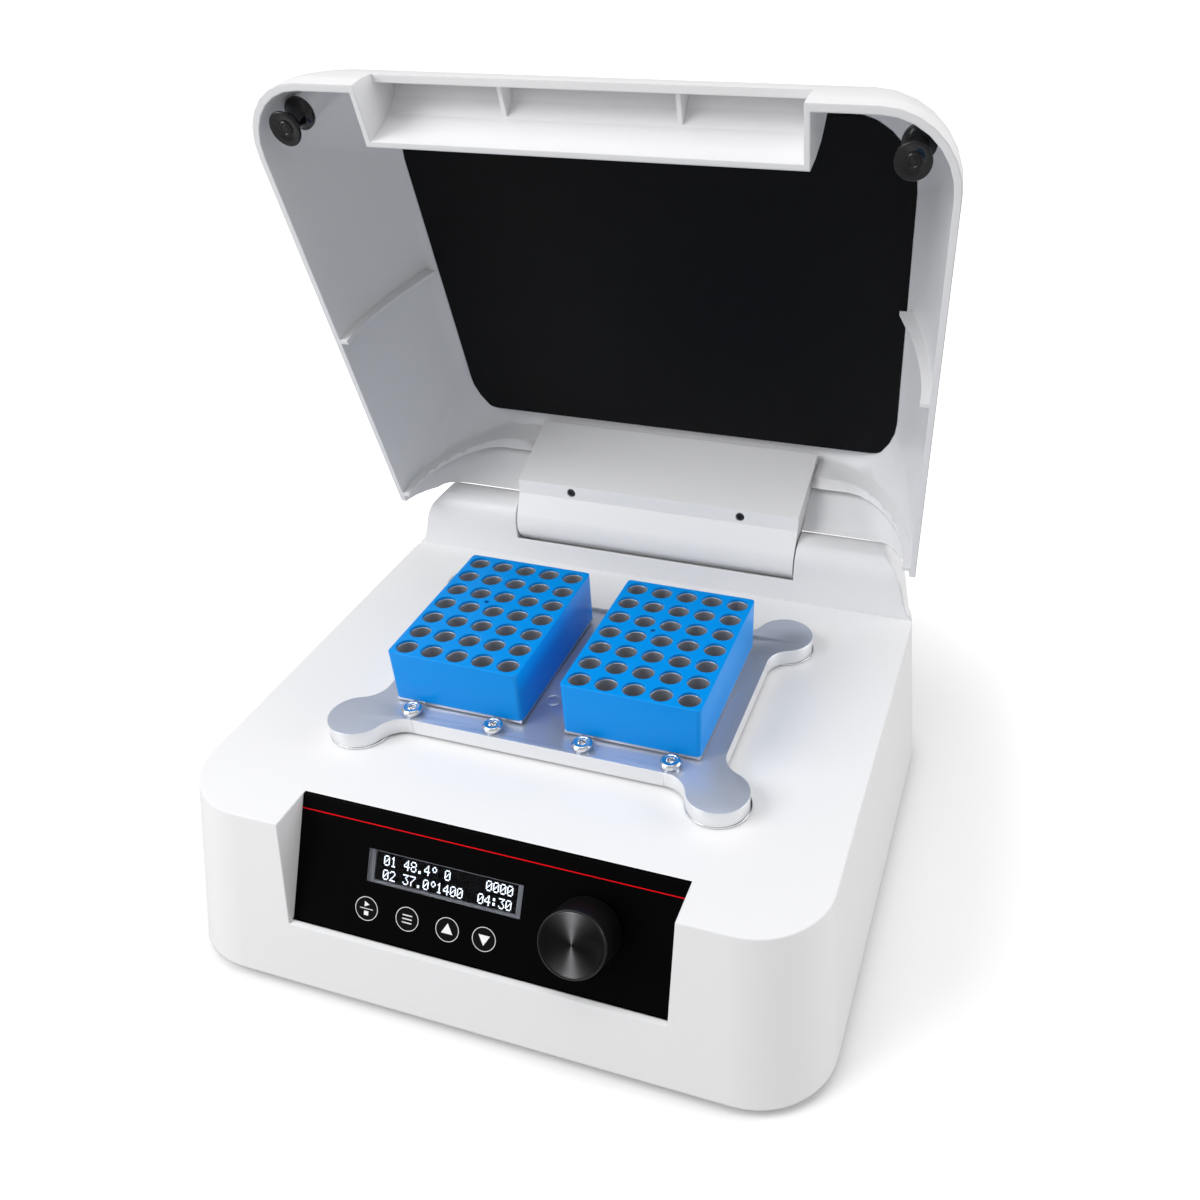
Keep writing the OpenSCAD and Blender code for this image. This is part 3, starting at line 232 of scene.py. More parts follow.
finishes = {
    "housingWhite": dict(colour=(0.80, 0.80, 0.81), vary=0.012, rough=0.36, roughVary=0.04, grain=1500,
                         patch=9, bump=0.16, depth=0.03, edge=1.5, edgeHighlightAmount=0.2,
                         edgeHighlightColour=(0.86, 0.86, 0.87)),
    "lidWhite": dict(colour=(0.80, 0.80, 0.81), vary=0.016, rough=0.38, roughVary=0.05, grain=1300,
                     patch=12, bump=0.2, depth=0.04, edge=0.9, edgeHighlightAmount=0.3,
                     edgeHighlightColour=(0.87, 0.87, 0.88)),
    "coverWhite": dict(colour=(0.84, 0.84, 0.845), vary=0.01, rough=0.34, roughVary=0.04, grain=1500,
                       patch=11, bump=0.16, depth=0.03, edge=0.7, edgeHighlightAmount=0.2),
    "panelBlack": dict(colour=(0.0006, 0.0006, 0.0007), vary=0.25, shine=0.04, rough=0.42, roughVary=0.05,
                       grain=2400, patch=30, bump=0.12, depth=0.02, edge=0.3, edgeHighlightAmount=0.2,
                       edgeHighlightColour=(0.03, 0.03, 0.03)),
    "keyBlack": dict(colour=(0.0012, 0.0012, 0.0014), vary=0.25, shine=0.12, rough=0.36, roughVary=0.05,
                     grain=2400, bump=0.12, depth=0.02, edge=0.2, edgeHighlightAmount=0.25,
                     edgeHighlightColour=(0.03, 0.03, 0.03)),
    "coverBlue": dict(colour=(0.0008, 0.265, 0.77), vary=0.04, shine=0.2, rough=0.3, roughVary=0.05,
                      grain=1500, patch=25, bump=0.22, depth=0.04, edge=0.5, edgeHighlightAmount=0.35,
                      edgeHighlightColour=(0.03, 0.36, 0.84)),
    "platformAluminium": dict(colour=(0.52, 0.57, 0.68), metal=0.6, vary=0.05, rough=0.36, roughVary=0.05,
                              grain=2600, patch=18, bump=0.16, depth=0.03, edge=0.5, edgeHighlightAmount=0.9,
                              edgeHighlightColour=(0.93, 0.94, 0.95)),
    "blockAluminium": dict(colour=(0.60, 0.61, 0.64), metal=0.75, vary=0.08, rough=0.38, roughVary=0.07,
                           grain=1800, bump=0.2, depth=0.04, edge=0.4, edgeHighlightAmount=0.6,
                           edgeHighlightColour=(0.9, 0.9, 0.91)),
    "postAluminium": dict(colour=(0.78, 0.79, 0.80), metal=1.0, vary=0.06, rough=0.25, roughVary=0.05,
                          grain=1800, bump=0.2, depth=0.04, edge=0.4, edgeHighlightAmount=0.6,
                          edgeHighlightColour=(0.92, 0.92, 0.93)),
    "polishedSteel": dict(colour=(0.74, 0.74, 0.75), metal=1.0, vary=0.05, rough=0.13, roughVary=0.04,
                          grain=2200, bump=0.1, depth=0.02, edge=0.3, edgeHighlightAmount=0.6,
                          edgeHighlightColour=(0.92, 0.92, 0.93)),
    "plainSteel": dict(colour=(0.52, 0.52, 0.53), metal=1.0, vary=0.08, rough=0.3, roughVary=0.08,
                       grain=1500, bump=0.2, depth=0.03, edge=0.3, edgeHighlightAmount=0.5,
                       edgeHighlightColour=(0.8, 0.8, 0.8)),
    "darkSteel": dict(colour=(0.045, 0.045, 0.05), metal=0.7, vary=0.1, rough=0.35, roughVary=0.06,
                      grain=1500, bump=0.2, depth=0.03, edge=0.2, edgeHighlightAmount=0.4,
                      edgeHighlightColour=(0.2, 0.2, 0.21)),
    "sheetSteel": dict(colour=(0.55, 0.56, 0.57), metal=1.0, vary=0.12, rough=0.36, roughVary=0.1,
                       grain=700, patch=35, patchAmount=0.8, bump=0.2, depth=0.03, edge=0.3,
                       edgeHighlightAmount=0.4, edgeHighlightColour=(0.78, 0.78, 0.79)),
    "footRubber": dict(colour=(0.012, 0.012, 0.013), vary=0.3, rough=0.72, roughVary=0.08, grain=1100,
                       bump=0.4, depth=0.06, edge=0.5, edgeHighlightAmount=0.35, edgeHighlightColour=(0.05, 0.05, 0.05)),
    "bufferRubber": dict(colour=(0.0028, 0.0028, 0.0034), vary=0.3, shine=0.5, rough=0.2, roughVary=0.05,
                         grain=1500, bump=0.2, depth=0.03, edge=0.4, edgeHighlightAmount=0.4,
                         edgeHighlightColour=(0.012, 0.012, 0.014)),
    "lidFoam": dict(colour=(0.0022, 0.0023, 0.003), vary=0.3, shine=0.14, rough=0.55, roughVary=0.08,
                    grain=1900, patch=20, bump=0.35, depth=0.06, edge=0.4, edgeHighlightAmount=0.3,
                    edgeHighlightColour=(0.012, 0.012, 0.014)),
    "heaterRubber": dict(colour=(0.012, 0.012, 0.012), vary=0.25, rough=0.6, grain=900, bump=0.3),
    "knobBlack": dict(colour=(0.003, 0.003, 0.0033), vary=0.2, shine=0.4, rough=0.36, roughVary=0.06,
                      grain=1900, bump=0.2, depth=0.03, edge=0.3, edgeHighlightAmount=0.4,
                      edgeHighlightColour=(0.03, 0.03, 0.03)),
    "knobMetal": dict(colour=(0.012, 0.012, 0.013), metal=1.0, vary=0.25, rough=0.27, roughVary=0.06,
                      turned=tuple(knobCentre), tilt=(panelTilt, 0, 0), lines=2600, bump=0.25, depth=0.02,
                      edge=0.15, edgeHighlightAmount=0.3, edgeHighlightColour=(0.3, 0.3, 0.3), aniso=0.85),
    "displayBoard": dict(colour=(0.002, 0.0022, 0.003), vary=0.2, shine=0.1, rough=0.5, grain=1200,
                         bump=0.1),
    "circuitBoard": dict(colour=(0.010, 0.085, 0.03), vary=0.3, rough=0.35, roughVary=0.1, grain=300,
                         patch=120, patchAmount=0.8, bump=0.3, depth=0.1),
    "inletPlastic": dict(colour=(0.013, 0.013, 0.014), vary=0.2, rough=0.4, grain=1200, bump=0.25,
                         edge=0.5, edgeHighlightAmount=0.4, edgeHighlightColour=(0.05, 0.05, 0.05)),
    "motorPaint": dict(colour=(0.03, 0.03, 0.033), vary=0.2, rough=0.45, grain=700, bump=0.4, depth=0.1),
    "weightBrass": dict(colour=(0.62, 0.42, 0.16), metal=1.0, vary=0.1, rough=0.25, grain=900, bump=0.2),
    "bushBronze": dict(colour=(0.45, 0.27, 0.14), metal=1.0, vary=0.12, rough=0.32, grain=900, bump=0.2),
    "stripeRed": dict(colour=(0.88, 0.002, 0.008), vary=0.04, shine=0.1, rough=0.4, grain=2000, bump=0.05),
    "printWhite": dict(colour=(0.86, 0.86, 0.87), vary=0.03, rough=0.45, grain=2000, bump=0.05),
}
materials = {name: makeFinish(name, look) for name, look in finishes.items()}


sideHighlightLook = dict(colour=(0.80, 0.81, 0.83), topAt=0.95, sideAt=0.6)


def paintSideHighlight(material):
    # the plate's sides are painted lighter than its satin top: a painted highlight on the sides
    look = sideHighlightLook
    tree = material.node_tree
    shader = tree.nodes["Principled BSDF"]
    top = shader.inputs["Base Color"].links[0].from_socket
    shape = tree.nodes.new("ShaderNodeNewGeometry")
    split = tree.nodes.new("ShaderNodeSeparateXYZ")
    tree.links.new(shape.outputs["Normal"], split.inputs["Vector"])
    side = tree.nodes.new("ShaderNodeMapRange")
    side.inputs["From Min"].default_value = look["topAt"]
    side.inputs["From Max"].default_value = look["sideAt"]
    tree.links.new(split.outputs["Z"], side.inputs["Value"])
    mix = tree.nodes.new("ShaderNodeMix")
    mix.data_type = "RGBA"
    mix.inputs["B"].default_value = look["colour"] + (1,)
    tree.links.new(side.outputs["Result"], mix.inputs["Factor"])
    tree.links.new(top, mix.inputs["A"])
    tree.links.new(mix.outputs["Result"], shader.inputs["Base Color"])


paintSideHighlight(materials["platformAluminium"])


def makeWindowGlass():
    # smoked window over the display, clear enough for the lit dots behind it
    material = makeFinish("displayGlass", dict(colour=(0.42, 0.43, 0.46), vary=0.03, ior=1.15, shine=0.2,
                                               rough=0.05, roughVary=0.02, grain=600, bump=0.02, depth=0.01,
                                               edge=0.2, edgeHighlightAmount=0.2))
    shader = material.node_tree.nodes["Principled BSDF"]
    shader.inputs["Transmission Weight"].default_value = 1.0
    return material


dotLight = dict(dim=(0.78, 0.88, 1.0, 1), bright=(0.92, 0.97, 1.0, 1), strength=5.0)


def makeDotLight():
    material = makeFinish("displayDots", dict(colour=(0.55, 0.66, 0.78), vary=0.04, rough=0.5, grain=3000,
                                              bump=0.02))
    tree = material.node_tree
    shader = tree.nodes["Principled BSDF"]
    glow = tree.nodes.new("ShaderNodeMix")
    glow.data_type = "RGBA"
    glow.inputs["A"].default_value = dotLight["dim"]
    glow.inputs["B"].default_value = dotLight["bright"]
    grain = next(n for n in tree.nodes if n.type == "GROUP" and n.node_tree == grainGroup)
    tree.links.new(grain.outputs["Value"], glow.inputs["Factor"])
    tree.links.new(glow.outputs["Result"], shader.inputs["Emission Color"])
    shader.inputs["Emission Strength"].default_value = dotLight["strength"]
    return material


materials["displayGlass"] = makeWindowGlass()
materials["displayDots"] = makeDotLight()
print("materials:", len(materials))


# finishes of the CAD nodes that stay as they are

nodeFinish = {
    "base_plate": "sheetSteel", "feet": "footRubber",
    "base_screws": "plainSteel", "control_panel": "panelBlack", "display_window": "displayGlass",
    "display_module": "displayBoard", "key_board": "circuitBoard", "encoder_body": "plainSteel",
    "encoder_plunger": "polishedSteel", "key_1": "keyBlack", "key_2": "keyBlack", "key_up": "keyBlack",
    "key_down": "keyBlack", "main_board": "circuitBoard", "power_supply": "sheetSteel",
    "mains_inlet": "inletPlastic", "inlet_screws": "plainSteel", "power_switch": "inletPlastic",
    "switch_rocker": "inletPlastic", "drive_deck": "sheetSteel", "deck_pillars": "plainSteel",
    "deck_screws": "plainSteel", "idler_posts": "postAluminium", "drive_motor": "motorPaint",
    "motor_screws": "plainSteel", "crankshaft": "polishedSteel", "counterweight": "weightBrass",
    "idler_front_left": "postAluminium", "idler_front_right": "postAluminium",
    "idler_rear_left": "postAluminium", "idler_rear_right": "postAluminium",
    "platform_bushes": "bushBronze", "heater_mats": "heaterRubber", "block_left": "blockAluminium",
    "block_right": "blockAluminium", "hinge_pin": "polishedSteel",
    "hinge_clutches": "plainSteel", "hinge_cover": "coverWhite",
    "hinge_screws": "darkSteel",
}
for node, finish in nodeFinish.items():
    obj = frame["nodes"][node]
    obj.data.materials.clear()
    obj.data.materials.append(materials[finish])


# building helpers

def newPiece(name, bm, body, finish, replaced=(), smoothAngle=35):
    mesh = bpy.data.meshes.new(name)
    bm.to_mesh(mesh)
    bm.free()
    mesh.materials.append(materials[finish])
    mesh.shade_smooth()
    mesh.set_sharp_from_angle(angle=math.radians(smoothAngle))
    piece = bpy.data.objects.new(name, mesh)
    scene.collection.objects.link(piece)
    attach(piece, body)
    if replaced:
        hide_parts(*replaced)
    return piece


def copyOf(node):
    # a merged copy of a node's mesh, to be worked on
    bm = bmesh.new()
    bm.from_mesh(frame["nodes"][node].data)
    bmesh.ops.remove_doubles(bm, verts=bm.verts, dist=2e-6)
    bmesh.ops.dissolve_limit(bm, angle_limit=math.radians(0.3), verts=bm.verts, edges=bm.edges)
    return bm


def bevelEdges(bm, wanted, width, segments=3):
    edges = [e for e in bm.edges if len(e.link_faces) == 2 and wanted(e)]
    bmesh.ops.bevel(bm, geom=edges, offset=width, offset_type="OFFSET", affect="EDGES", segments=segments,
                    profile=0.5, material=-1, clamp_overlap=True)
    bmesh.ops.remove_doubles(bm, verts=bm.verts, dist=2e-6)


def sharp(edge, degrees=40):
    return edge.calc_face_angle(0) > math.radians(degrees)


# blue covers over the blocks, their outer top edges rounded

coverLook = dict(edge=1.7, segments=4, wallReach=0.25, topReach=0.02,
                 names={"cover_left": "blockCoverLeft", "cover_right": "blockCoverRight"})


def makeCovers():
    look = coverLook
    for node, name in look["names"].items():
        low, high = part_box(node)
        bm = copyOf(node)

        def outer(e):
            ends = [v.co for v in e.verts]
            x = [min(p.x - low.x, high.x - p.x) < look["wallReach"] * mm for p in ends]
            y = [min(p.y - low.y, high.y - p.y) < look["wallReach"] * mm for p in ends]
            top = [p.z > high.z - look["topReach"] * mm for p in ends]
            return sharp(e) and all(top) and (all(x) or all(y))

        bevelEdges(bm, outer, look["edge"] * mm, look["segments"])
        newPiece(name, bm, "platform", "coverBlue", [node])


# platform plate with its edges broken; its finish paints the edges lighter, for their polish and as a
# painted highlight

plateLook = dict(edge=0.55, segments=2, levelReach=0.01, sharpAt=60)


def makePlate():
    look = plateLook
    low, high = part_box("platform")
    bm = copyOf("platform")

    def rim(e):
        ends = [v.co.z for v in e.verts]
        level = any(all(abs(z - face.z) < look["levelReach"] * mm for z in ends) for face in (low, high))
        return level and sharp(e, look["sharpAt"])

    bevelEdges(bm, rim, look["edge"] * mm, look["segments"])
    newPiece("orbitPlate", bm, "platform", "platformAluminium", ["platform"])


makeCovers()
makePlate()
print("covers and plate done")


# knob: a turned black grip and its dark spun face

# the wedge values set a painted highlight across the knob's spun face
knobLook = dict(radius=16.7, height=22.0, foot=1.4, bore=5.2, boreDeep=4.0, face=15.2, seat=0.8,
                paintedHighlightAt=0.27, paintedHighlightColour=(0.32, 0.32, 0.33), highlightLobes=((5.0, 0.25), (30.0, 0.75)))


def spun(profile, place, steps=96):
    # profile is (radius, height) pairs in millimetres, turned about the local Z
    bm = bmesh.new()
    ring = [bm.verts.new((r * mm, 0, z * mm)) for r, z in profile]
    edges = [bm.edges.new(pair) for pair in zip(ring, ring[1:])]
    bmesh.ops.spin(bm, geom=ring + edges, cent=(0, 0, 0), axis=(0, 0, 1), angle=math.tau, steps=steps,
                   use_merge=True)
    bmesh.ops.remove_doubles(bm, verts=bm.verts, dist=1e-6)
    bmesh.ops.recalc_face_normals(bm, faces=bm.faces)
    bmesh.ops.transform(bm, matrix=place, verts=bm.verts)
    return bm


def makeKnob():
    place = onPanel() @ Matrix.Translation((knobAt[0] * mm, -knobAt[1] * mm, 0))
    look = knobLook
    r, h, foot, bore, seat = look["radius"], look["height"], look["foot"], look["bore"], look["seat"]
    deep = foot + look["boreDeep"]
    grip = [(0, deep), (bore, deep), (bore, foot), (r - 0.9, foot), (r - 0.35, foot + 0.15),
            (r, foot + 0.7), (r, foot + 1.4), (r - 0.3, h - 1.6), (r - 0.36, h - 0.9), (r - 0.55, h - 0.4),
            (r - 0.9, h - 0.08), (r - 1.15, h), (r - 1.35, h - 0.04), (r - 1.48, h - 0.2),
            (r - 1.48, h - seat), (0, h - seat)]
    newPiece("knobGrip", spun(grip, place), "knob", "knobBlack", ["knob"])
    top = look["face"]
    face = [(0, h - seat), (top, h - seat), (top, h - 0.3), (top - 0.2, h - 0.1), (top - 0.5, h - 0.05),
            (top - 0.9, h - 0.22), (6, h - 0.36), (0.4, h - 0.4), (0, h - 0.4)]
    piece = newPiece("knobFace", spun(face, place), "knob", "knobMetal", ["knob_face"])
    # the turned face's own map: U runs round the axis
    mesh, back = piece.data, place.inverted()
    layer = mesh.uv_layers.new(name="turned")
    for poly in mesh.polygons:
        middle = back @ poly.center
        base = math.atan2(middle.y, middle.x)
        for loop in poly.loop_indices:
            p = back @ mesh.vertices[mesh.loops[loop].vertex_index].co
            angle = math.atan2(p.y, p.x) if p.xy.length > 1e-6 else base
            angle += math.tau * round((base - angle) / math.tau)
            layer.data[loop].uv = (angle / math.tau, p.xy.length / (top * mm))
    # two bright wedges across the spun face: a painted highlight, colour that stands in for the reflection
    # turned metal shows
    tree = materials["knobMetal"].node_tree
    shader = tree.nodes["Principled BSDF"]
    spot = tree.nodes.new("ShaderNodeUVMap")
    spot.uv_map = "turned"
    split = tree.nodes.new("ShaderNodeSeparateXYZ")
    tree.links.new(spot.outputs["UV"], split.inputs["Vector"])
    away = mathNode(tree, "SUBTRACT", split.outputs["X"], look["paintedHighlightAt"])
    near = mathNode(tree, "ABSOLUTE", mathNode(tree, "COSINE", mathNode(tree, "MULTIPLY", away, math.tau)))
    broad, narrow = (mathNode(tree, "MULTIPLY", mathNode(tree, "POWER", near, power), share)
                     for power, share in look["highlightLobes"])
    paintedHighlight = mathNode(tree, "ADD", narrow, broad)
    mix = tree.nodes.new("ShaderNodeMix")
    mix.data_type = "RGBA"
    mix.inputs["B"].default_value = look["paintedHighlightColour"] + (1,)
    tree.links.new(paintedHighlight, mix.inputs["Factor"])
    tree.links.new(shader.inputs["Base Color"].links[0].from_socket, mix.inputs["A"])
    tree.links.new(mix.outputs["Result"], shader.inputs["Base Color"])
    tangent = tree.nodes.new("ShaderNodeTangent")
    tangent.direction_type = "UV_MAP"
    tangent.uv_map = "turned"
    tree.links.new(tangent.outputs["Tangent"], shader.inputs["Tangent"])


makeKnob()


# prints on the panel and keys, and the lit dots of the display

printLook = dict(stripeAt=7.1, stripeWide=0.5, panelWide=197.2, keys=(-58.8, -36.6, -15.1, 4.2),
                 keyDown=50.0, ringOut=6.15, ringIn=5.82, lift=0.03, triangle=3.3, barStep=1.9)


def rectangle(halfWide, halfHigh, middle=0):
    return [(-halfWide, middle - halfHigh), (halfWide, middle - halfHigh),
            (halfWide, middle + halfHigh), (-halfWide, middle + halfHigh)]


def plate(points, height):
    bm = bmesh.new()
    face = bm.faces.new([bm.verts.new((x * mm, y * mm, 0)) for x, y in points])
    grown = bmesh.ops.extrude_face_region(bm, geom=[face])
    up = [v for v in grown["geom"] if isinstance(v, bmesh.types.BMVert)]
    bmesh.ops.translate(bm, verts=up, vec=(0, 0, height * mm))
    bmesh.ops.recalc_face_normals(bm, faces=bm.faces)
    return bm


def joined(parts):
    # parts are (bmesh, matrix) pairs, put together in one bmesh
    whole = bmesh.new()
    for bm, place in parts:
        bmesh.ops.transform(bm, matrix=place, verts=bm.verts)
        mesh = bpy.data.meshes.new("part")
        bm.to_mesh(mesh)
        bm.free()
        whole.from_mesh(mesh)
        bpy.data.meshes.remove(mesh)
    return whole


def makePrints():
    look = printLook
    face = onPanel() @ Matrix.Translation((0, 0, look["lift"] * mm / 3))
    half, wide = look["panelWide"] / 2, look["stripeWide"] / 2
    stripe = plate(rectangle(half, wide), look["lift"])
    newPiece("panelStripe", joined([(stripe, face @ Matrix.Translation((0, -look["stripeAt"] * mm, 0)))]),
             "base", "stripeRed")
    rings = []
    for x in look["keys"]:
        at = face @ Matrix.Translation((x * mm, -look["keyDown"] * mm, 0))
        ring = spun([(look["ringIn"], 0), (look["ringOut"], 0), (look["ringOut"], look["lift"]),
                     (look["ringIn"], look["lift"]), (look["ringIn"], 0)], Matrix.Identity(4), 48)
        rings.append((ring, at))
    newPiece("keyRings", joined(rings), "base", "printWhite")
    t = look["triangle"]
    up = [(-t * 0.92, -t * 0.62), (t * 0.92, -t * 0.62), (0, t)]
    marks = {
        "key_1": [[(-1.2, 0.9), (1.5, 2.3), (-1.2, 3.7)], rectangle(3.6, 0.2), rectangle(1.2, 1.1, -2.3)],
        "key_2": [rectangle(2.6, 0.3, middle) for middle in (look["barStep"], 0, -look["barStep"])],
        "key_up": [up],
        "key_down": [[(x, -y) for x, y in reversed(up)]],
    }
    for x, (key, shapes) in zip(look["keys"], marks.items()):
        at = face @ Matrix.Translation((x * mm, -look["keyDown"] * mm, 0))
        parts = [(plate(points, look["lift"]), at) for points in shapes]
        newPiece(key.replace("_", "") + "Print", joined(parts), key, "printWhite")


displayLook = dict(first=-52.9, pitch=3.61, rows=(24.0, 31.2), dot=0.56, step=0.62, stepUp=0.76, depth=-1.77,
                   lines=(" 01 48.4* 0     0000", " 02 37.0*1400  04:30"))

# five by seven dots, one number a row from the top, its low bit at the right
dotShapes = {
    "0": (14, 17, 19, 21, 25, 17, 14), "1": (4, 12, 4, 4, 4, 4, 14), "2": (14, 17, 1, 2, 4, 8, 31),
    "3": (31, 2, 4, 2, 1, 17, 14), "4": (2, 6, 10, 18, 31, 2, 2), "5": (31, 16, 30, 1, 1, 17, 14),
    "6": (6, 8, 16, 30, 17, 17, 14), "7": (31, 1, 2, 4, 8, 8, 8), "8": (14, 17, 17, 14, 17, 17, 14),
    "9": (14, 17, 17, 15, 1, 2, 12), ".": (0, 0, 0, 0, 0, 12, 12), ":": (0, 12, 12, 0, 12, 12, 0),
    "*": (6, 9, 9, 6, 0, 0, 0),
}


def makeDots():
    look = displayLook
    whole = bmesh.new()
    size = look["dot"] * mm / 2
    for row, text in zip(look["rows"], look["lines"]):
        for column, sign in enumerate(text):
            for down, bits in enumerate(dotShapes.get(sign, ())):
                for right in range(5):
                    if bits >> (4 - right) & 1:
                        x = look["first"] + (column - 0.5) * look["pitch"] + (right - 2) * look["step"]
                        y = -row - (down - 3) * look["stepUp"]
                        at = Matrix.Translation((x * mm, y * mm, look["depth"] * mm))
                        bmesh.ops.create_grid(whole, x_segments=1, y_segments=1, size=size, matrix=at)
    bmesh.ops.transform(whole, matrix=onPanel(), verts=whole.verts)
    newPiece("displayDots", whole, "base", "displayDots")


makePrints()
makeDots()
print("panel prints done")


# insulating pad under the lid's roof, its edge softly rounded

padLook = dict(edge=1.3, segments=4, levelReach=0.02, sharpAt=50)


def lidFrame():
    # from the lid as it is closed to the lid as it stands open
    hinge = next(j for j in frame["record"]["behaviour"]["joints"] if j["name"] == "lid_close")
    axis = Vector((0, hinge["pos_m"][1], hinge["pos_m"][2]))
    opened = Matrix.Rotation(-math.radians(hinge["range_deg"][1]), 4, "X")
    return Matrix.Translation(axis) @ opened @ Matrix.Translation(-axis)


def makePad():
    look = padLook
    bm = copyOf("lid_pad")
    closed = lidFrame().inverted()
    bmesh.ops.transform(bm, matrix=closed, verts=bm.verts)
    low = min(v.co.z for v in bm.verts)

    def rim(e):
        return all(v.co.z < low + look["levelReach"] * mm for v in e.verts) and sharp(e, look["sharpAt"])

    bevelEdges(bm, rim, look["edge"] * mm, look["segments"])
    bmesh.ops.transform(bm, matrix=lidFrame(), verts=bm.verts)
    pad = newPiece("lidPad", bm, "lid", "lidFoam", ["lid_pad"])


shellLook = dict(smoothAngle=24)


def makeShells():
    # moulded shells with their curved walls shaded smooth
    angle = shellLook["smoothAngle"]
    newPiece("bodyShell", copyOf("upper_housing"), "base", "housingWhite",
             ["upper_housing"], angle)
    newPiece("lidShell", copyOf("lid_shell"), "lid", "lidWhite", ["lid_shell"], angle)


# turned rubber buffers at the lid's front corners

bufferLook = dict(place=(139.3, -116.3, 98.3), profile=(
    (0, 0.5), (1.5, 0.5), (1.7, 0.75), (1.95, 0.75), (2.1, 0.4), (2.5, 0.25), (2.85, 0.4), (3.15, 1.0),
    (3.6, 1.05), (4.2, 0.6), (5.6, 0.3), (6.6, 0.05), (7.0, 0), (7.35, 0.15), (7.5, 0.5), (7.5, 1.2),
    (7.2, 2.0), (6.2, 2.9), (5.2, 4.1), (4.55, 6), (4.4, 8), (4.4, 11.5), (4.8, 12.6), (6.5, 13.45),
    (7.05, 13.8), (7.1, 15.6), (6.8, 16), (0, 16)))


def makeBuffers():
    x, y, z = bufferLook["place"]
    parts = [(spun(bufferLook["profile"], Matrix.Identity(4), 48),
              lidFrame() @ Matrix.Translation((side * x * mm, y * mm, z * mm))) for side in (-1, 1)]
    newPiece("lidBuffers", joined(parts), "lid", "bufferRubber", ["lid_buffers"], 50)


# bright socket screws in front of and behind the blocks, their edges broken

screwLook = dict(edge=0.18, segments=2, sharpAt=30)


def makeBlockScrews():
    look = screwLook
    bm = copyOf("block_screws")
    bevelEdges(bm, lambda e: sharp(e, look["sharpAt"]), look["edge"] * mm, look["segments"])
    newPiece("blockScrews", bm, "platform", "polishedSteel", ["block_screws"],
             look["sharpAt"])


makePad()
makeShells()
makeBuffers()
makeBlockScrews()
print("lid, shells and screws done")


# studio: pale floor, soft key light from the upper left, even fill

floorLook = dict(half=6.0, rough=0.9, shine=0.1, bounce=0.5, seen=0.9, fadeFrom=0.2, fadeTo=0.55,
                 glowNear=0.03, glowFar=0.8)


def makeFloor():
    look = floorLook
    bm = bmesh.new()
    bmesh.ops.create_grid(bm, x_segments=1, y_segments=1, size=look["half"])
    mesh = bpy.data.meshes.new("studioFloor")
    bm.to_mesh(mesh)
    bm.free()
    floor = bpy.data.objects.new("studioFloor", mesh)
    scene.collection.objects.link(floor)
    material = bpy.data.materials.new("floorPaper")
    material.use_nodes = True
    tree = material.node_tree
    shader = tree.nodes["Principled BSDF"]
    shader.inputs["Roughness"].default_value = look["rough"]
    shader.inputs["Specular IOR Level"].default_value = look["shine"]
    path = tree.nodes.new("ShaderNodeLightPath")
    paper = tree.nodes.new("ShaderNodeMix")
    paper.data_type = "RGBA"
    paper.inputs["A"].default_value = (look["bounce"],) * 3 + (1,)
    paper.inputs["B"].default_value = (look["seen"],) * 3 + (1,)
    tree.links.new(path.outputs["Is Camera Ray"], paper.inputs["Factor"])
    tree.links.new(paper.outputs["Result"], shader.inputs["Base Color"])
    shader.inputs["Emission Color"].default_value = (1, 1, 1, 1)
    # the paper brightens to plain white away from the mixer, for the camera alone
    spot = tree.nodes.new("ShaderNodeTexCoord")
    reach = tree.nodes.new("ShaderNodeVectorMath")
    reach.operation = "LENGTH"
    tree.links.new(spot.outputs["Object"], reach.inputs[0])
    fade = tree.nodes.new("ShaderNodeMapRange")
    fade.interpolation_type = "SMOOTHSTEP"
    for socket, value in (("From Min", "fadeFrom"), ("From Max", "fadeTo"), ("To Min", "glowNear"),
                          ("To Max", "glowFar")):
        fade.inputs[socket].default_value = look[value]
    tree.links.new(reach.outputs["Value"], fade.inputs["Value"])
    seen = mathNode(tree, "MULTIPLY", path.outputs["Is Camera Ray"], fade.outputs["Result"])
    tree.links.new(seen, shader.inputs["Emission Strength"])
    mesh.materials.append(material)


lampLooks = {
    "keyLamp": dict(place=(-1.15, -0.95, 1.25), aim=(0, 0, 0.15), size=(1.1, 1.1), power=22),
    "sideLamp": dict(place=(1.4, 0.35, 0.55), aim=(0, 0, 0.1), size=(0.9, 0.7), power=9),
    "topLamp": dict(place=(0.0, -0.3, 1.9), aim=(0, 0, 0.1), size=(1.2, 1.0), power=8),
}


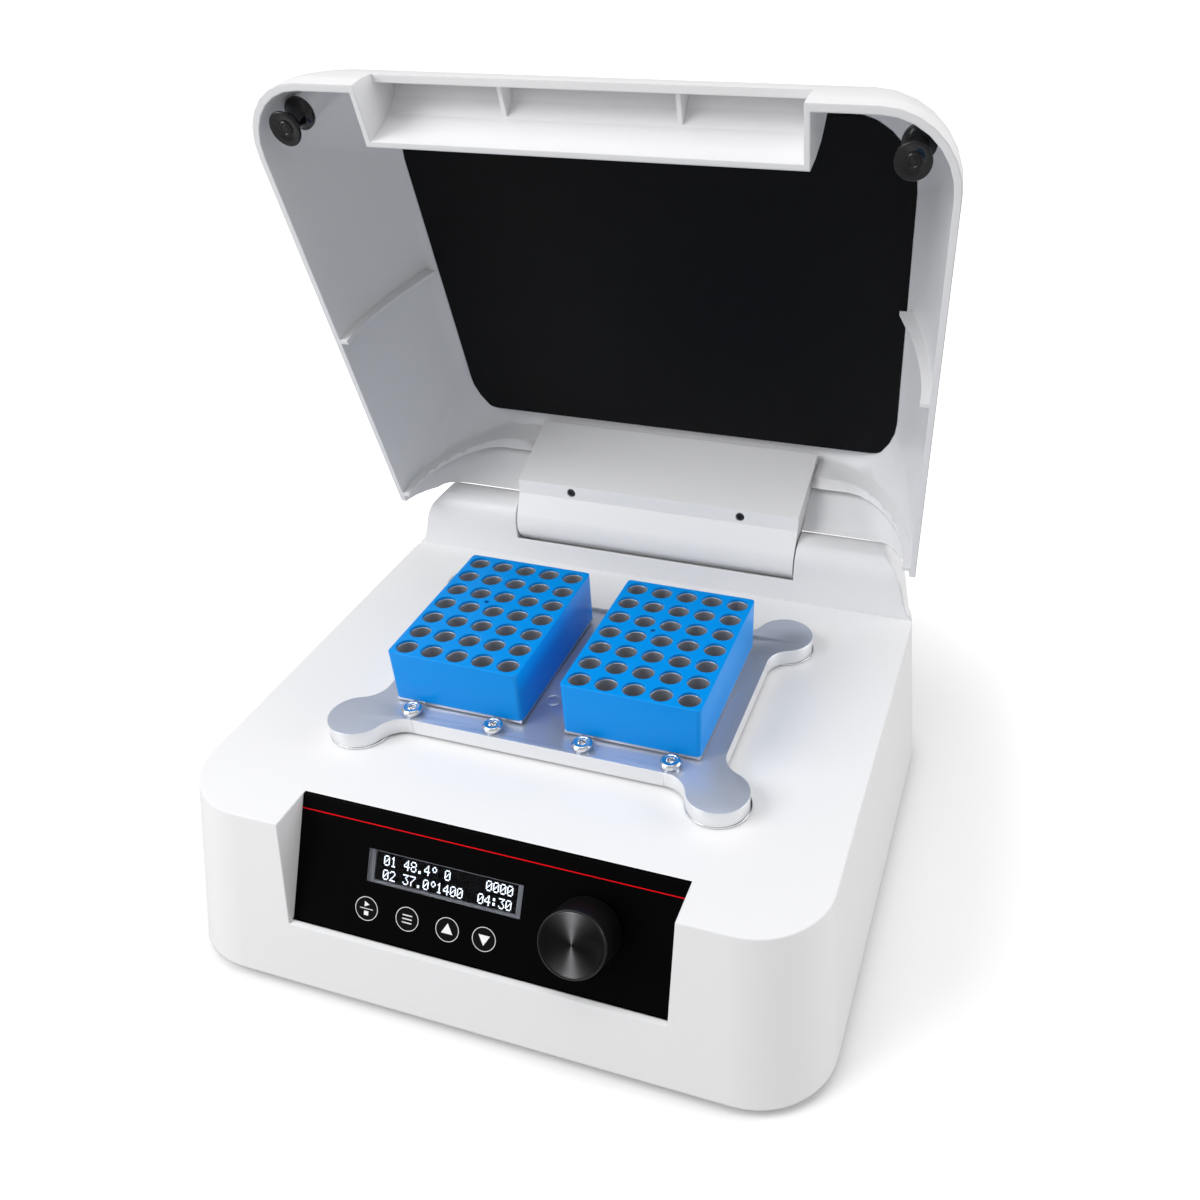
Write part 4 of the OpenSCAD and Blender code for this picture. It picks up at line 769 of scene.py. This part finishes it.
def makeLamp(name, place, aim, size, power):
    data = bpy.data.lights.new(name, "AREA")
    data.shape = "RECTANGLE"
    data.size, data.size_y = size
    data.energy = power
    lamp = bpy.data.objects.new(name, data)
    scene.collection.objects.link(lamp)
    lamp.location = place
    lamp.rotation_euler = (Vector(aim) - Vector(place)).to_track_quat("-Z", "Y").to_euler()


airLook = dict(light=0.55, seen=1.0)


def makeWorld():
    world = bpy.data.worlds.new("studioAir")
    scene.world = world
    world.use_nodes = True
    tree = world.node_tree
    air = tree.nodes["Background"]
    path = tree.nodes.new("ShaderNodeLightPath")
    seen = mathNode(tree, "MAXIMUM", path.outputs["Is Camera Ray"], path.outputs["Is Transmission Ray"])
    extra = mathNode(tree, "MULTIPLY", seen, airLook["seen"] - airLook["light"])
    strength = mathNode(tree, "ADD", airLook["light"], extra)
    tree.links.new(strength, air.inputs["Strength"])
    air.inputs["Color"].default_value = (1, 1, 1, 1)


cameraLook = dict(place=(0.1950, -0.4181, 0.4506), turn=19.62, down=40.60, roll=-1.66, lens=32.04,
                  sensor=36, shift=(-0.0525, 0.1199), clip=(0.01, 50))


def makeCamera():
    look = cameraLook
    data = bpy.data.cameras.new("studioCamera")
    data.sensor_width = look["sensor"]
    data.lens = look["lens"]
    data.shift_x, data.shift_y = look["shift"]
    data.clip_start, data.clip_end = look["clip"]
    turn, down, roll = (math.radians(look[k]) for k in ("turn", "down", "roll"))
    right = Vector((math.cos(turn), math.sin(turn), 0))
    back = Vector((math.sin(turn) * math.cos(down), -math.cos(turn) * math.cos(down), math.sin(down)))
    up = back.cross(right)
    across = math.cos(roll) * right + math.sin(roll) * up
    above = -math.sin(roll) * right + math.cos(roll) * up
    camera = bpy.data.objects.new("studioCamera", data)
    scene.collection.objects.link(camera)
    facing = Matrix((across, above, back)).transposed().to_4x4()
    camera.matrix_world = Matrix.Translation(look["place"]) @ facing
    scene.camera = camera


makeFloor()
makeWorld()
for name, look in lampLooks.items():
    makeLamp(name, **look)
makeCamera()
scene.view_settings.view_transform = "Standard"
print("studio done")
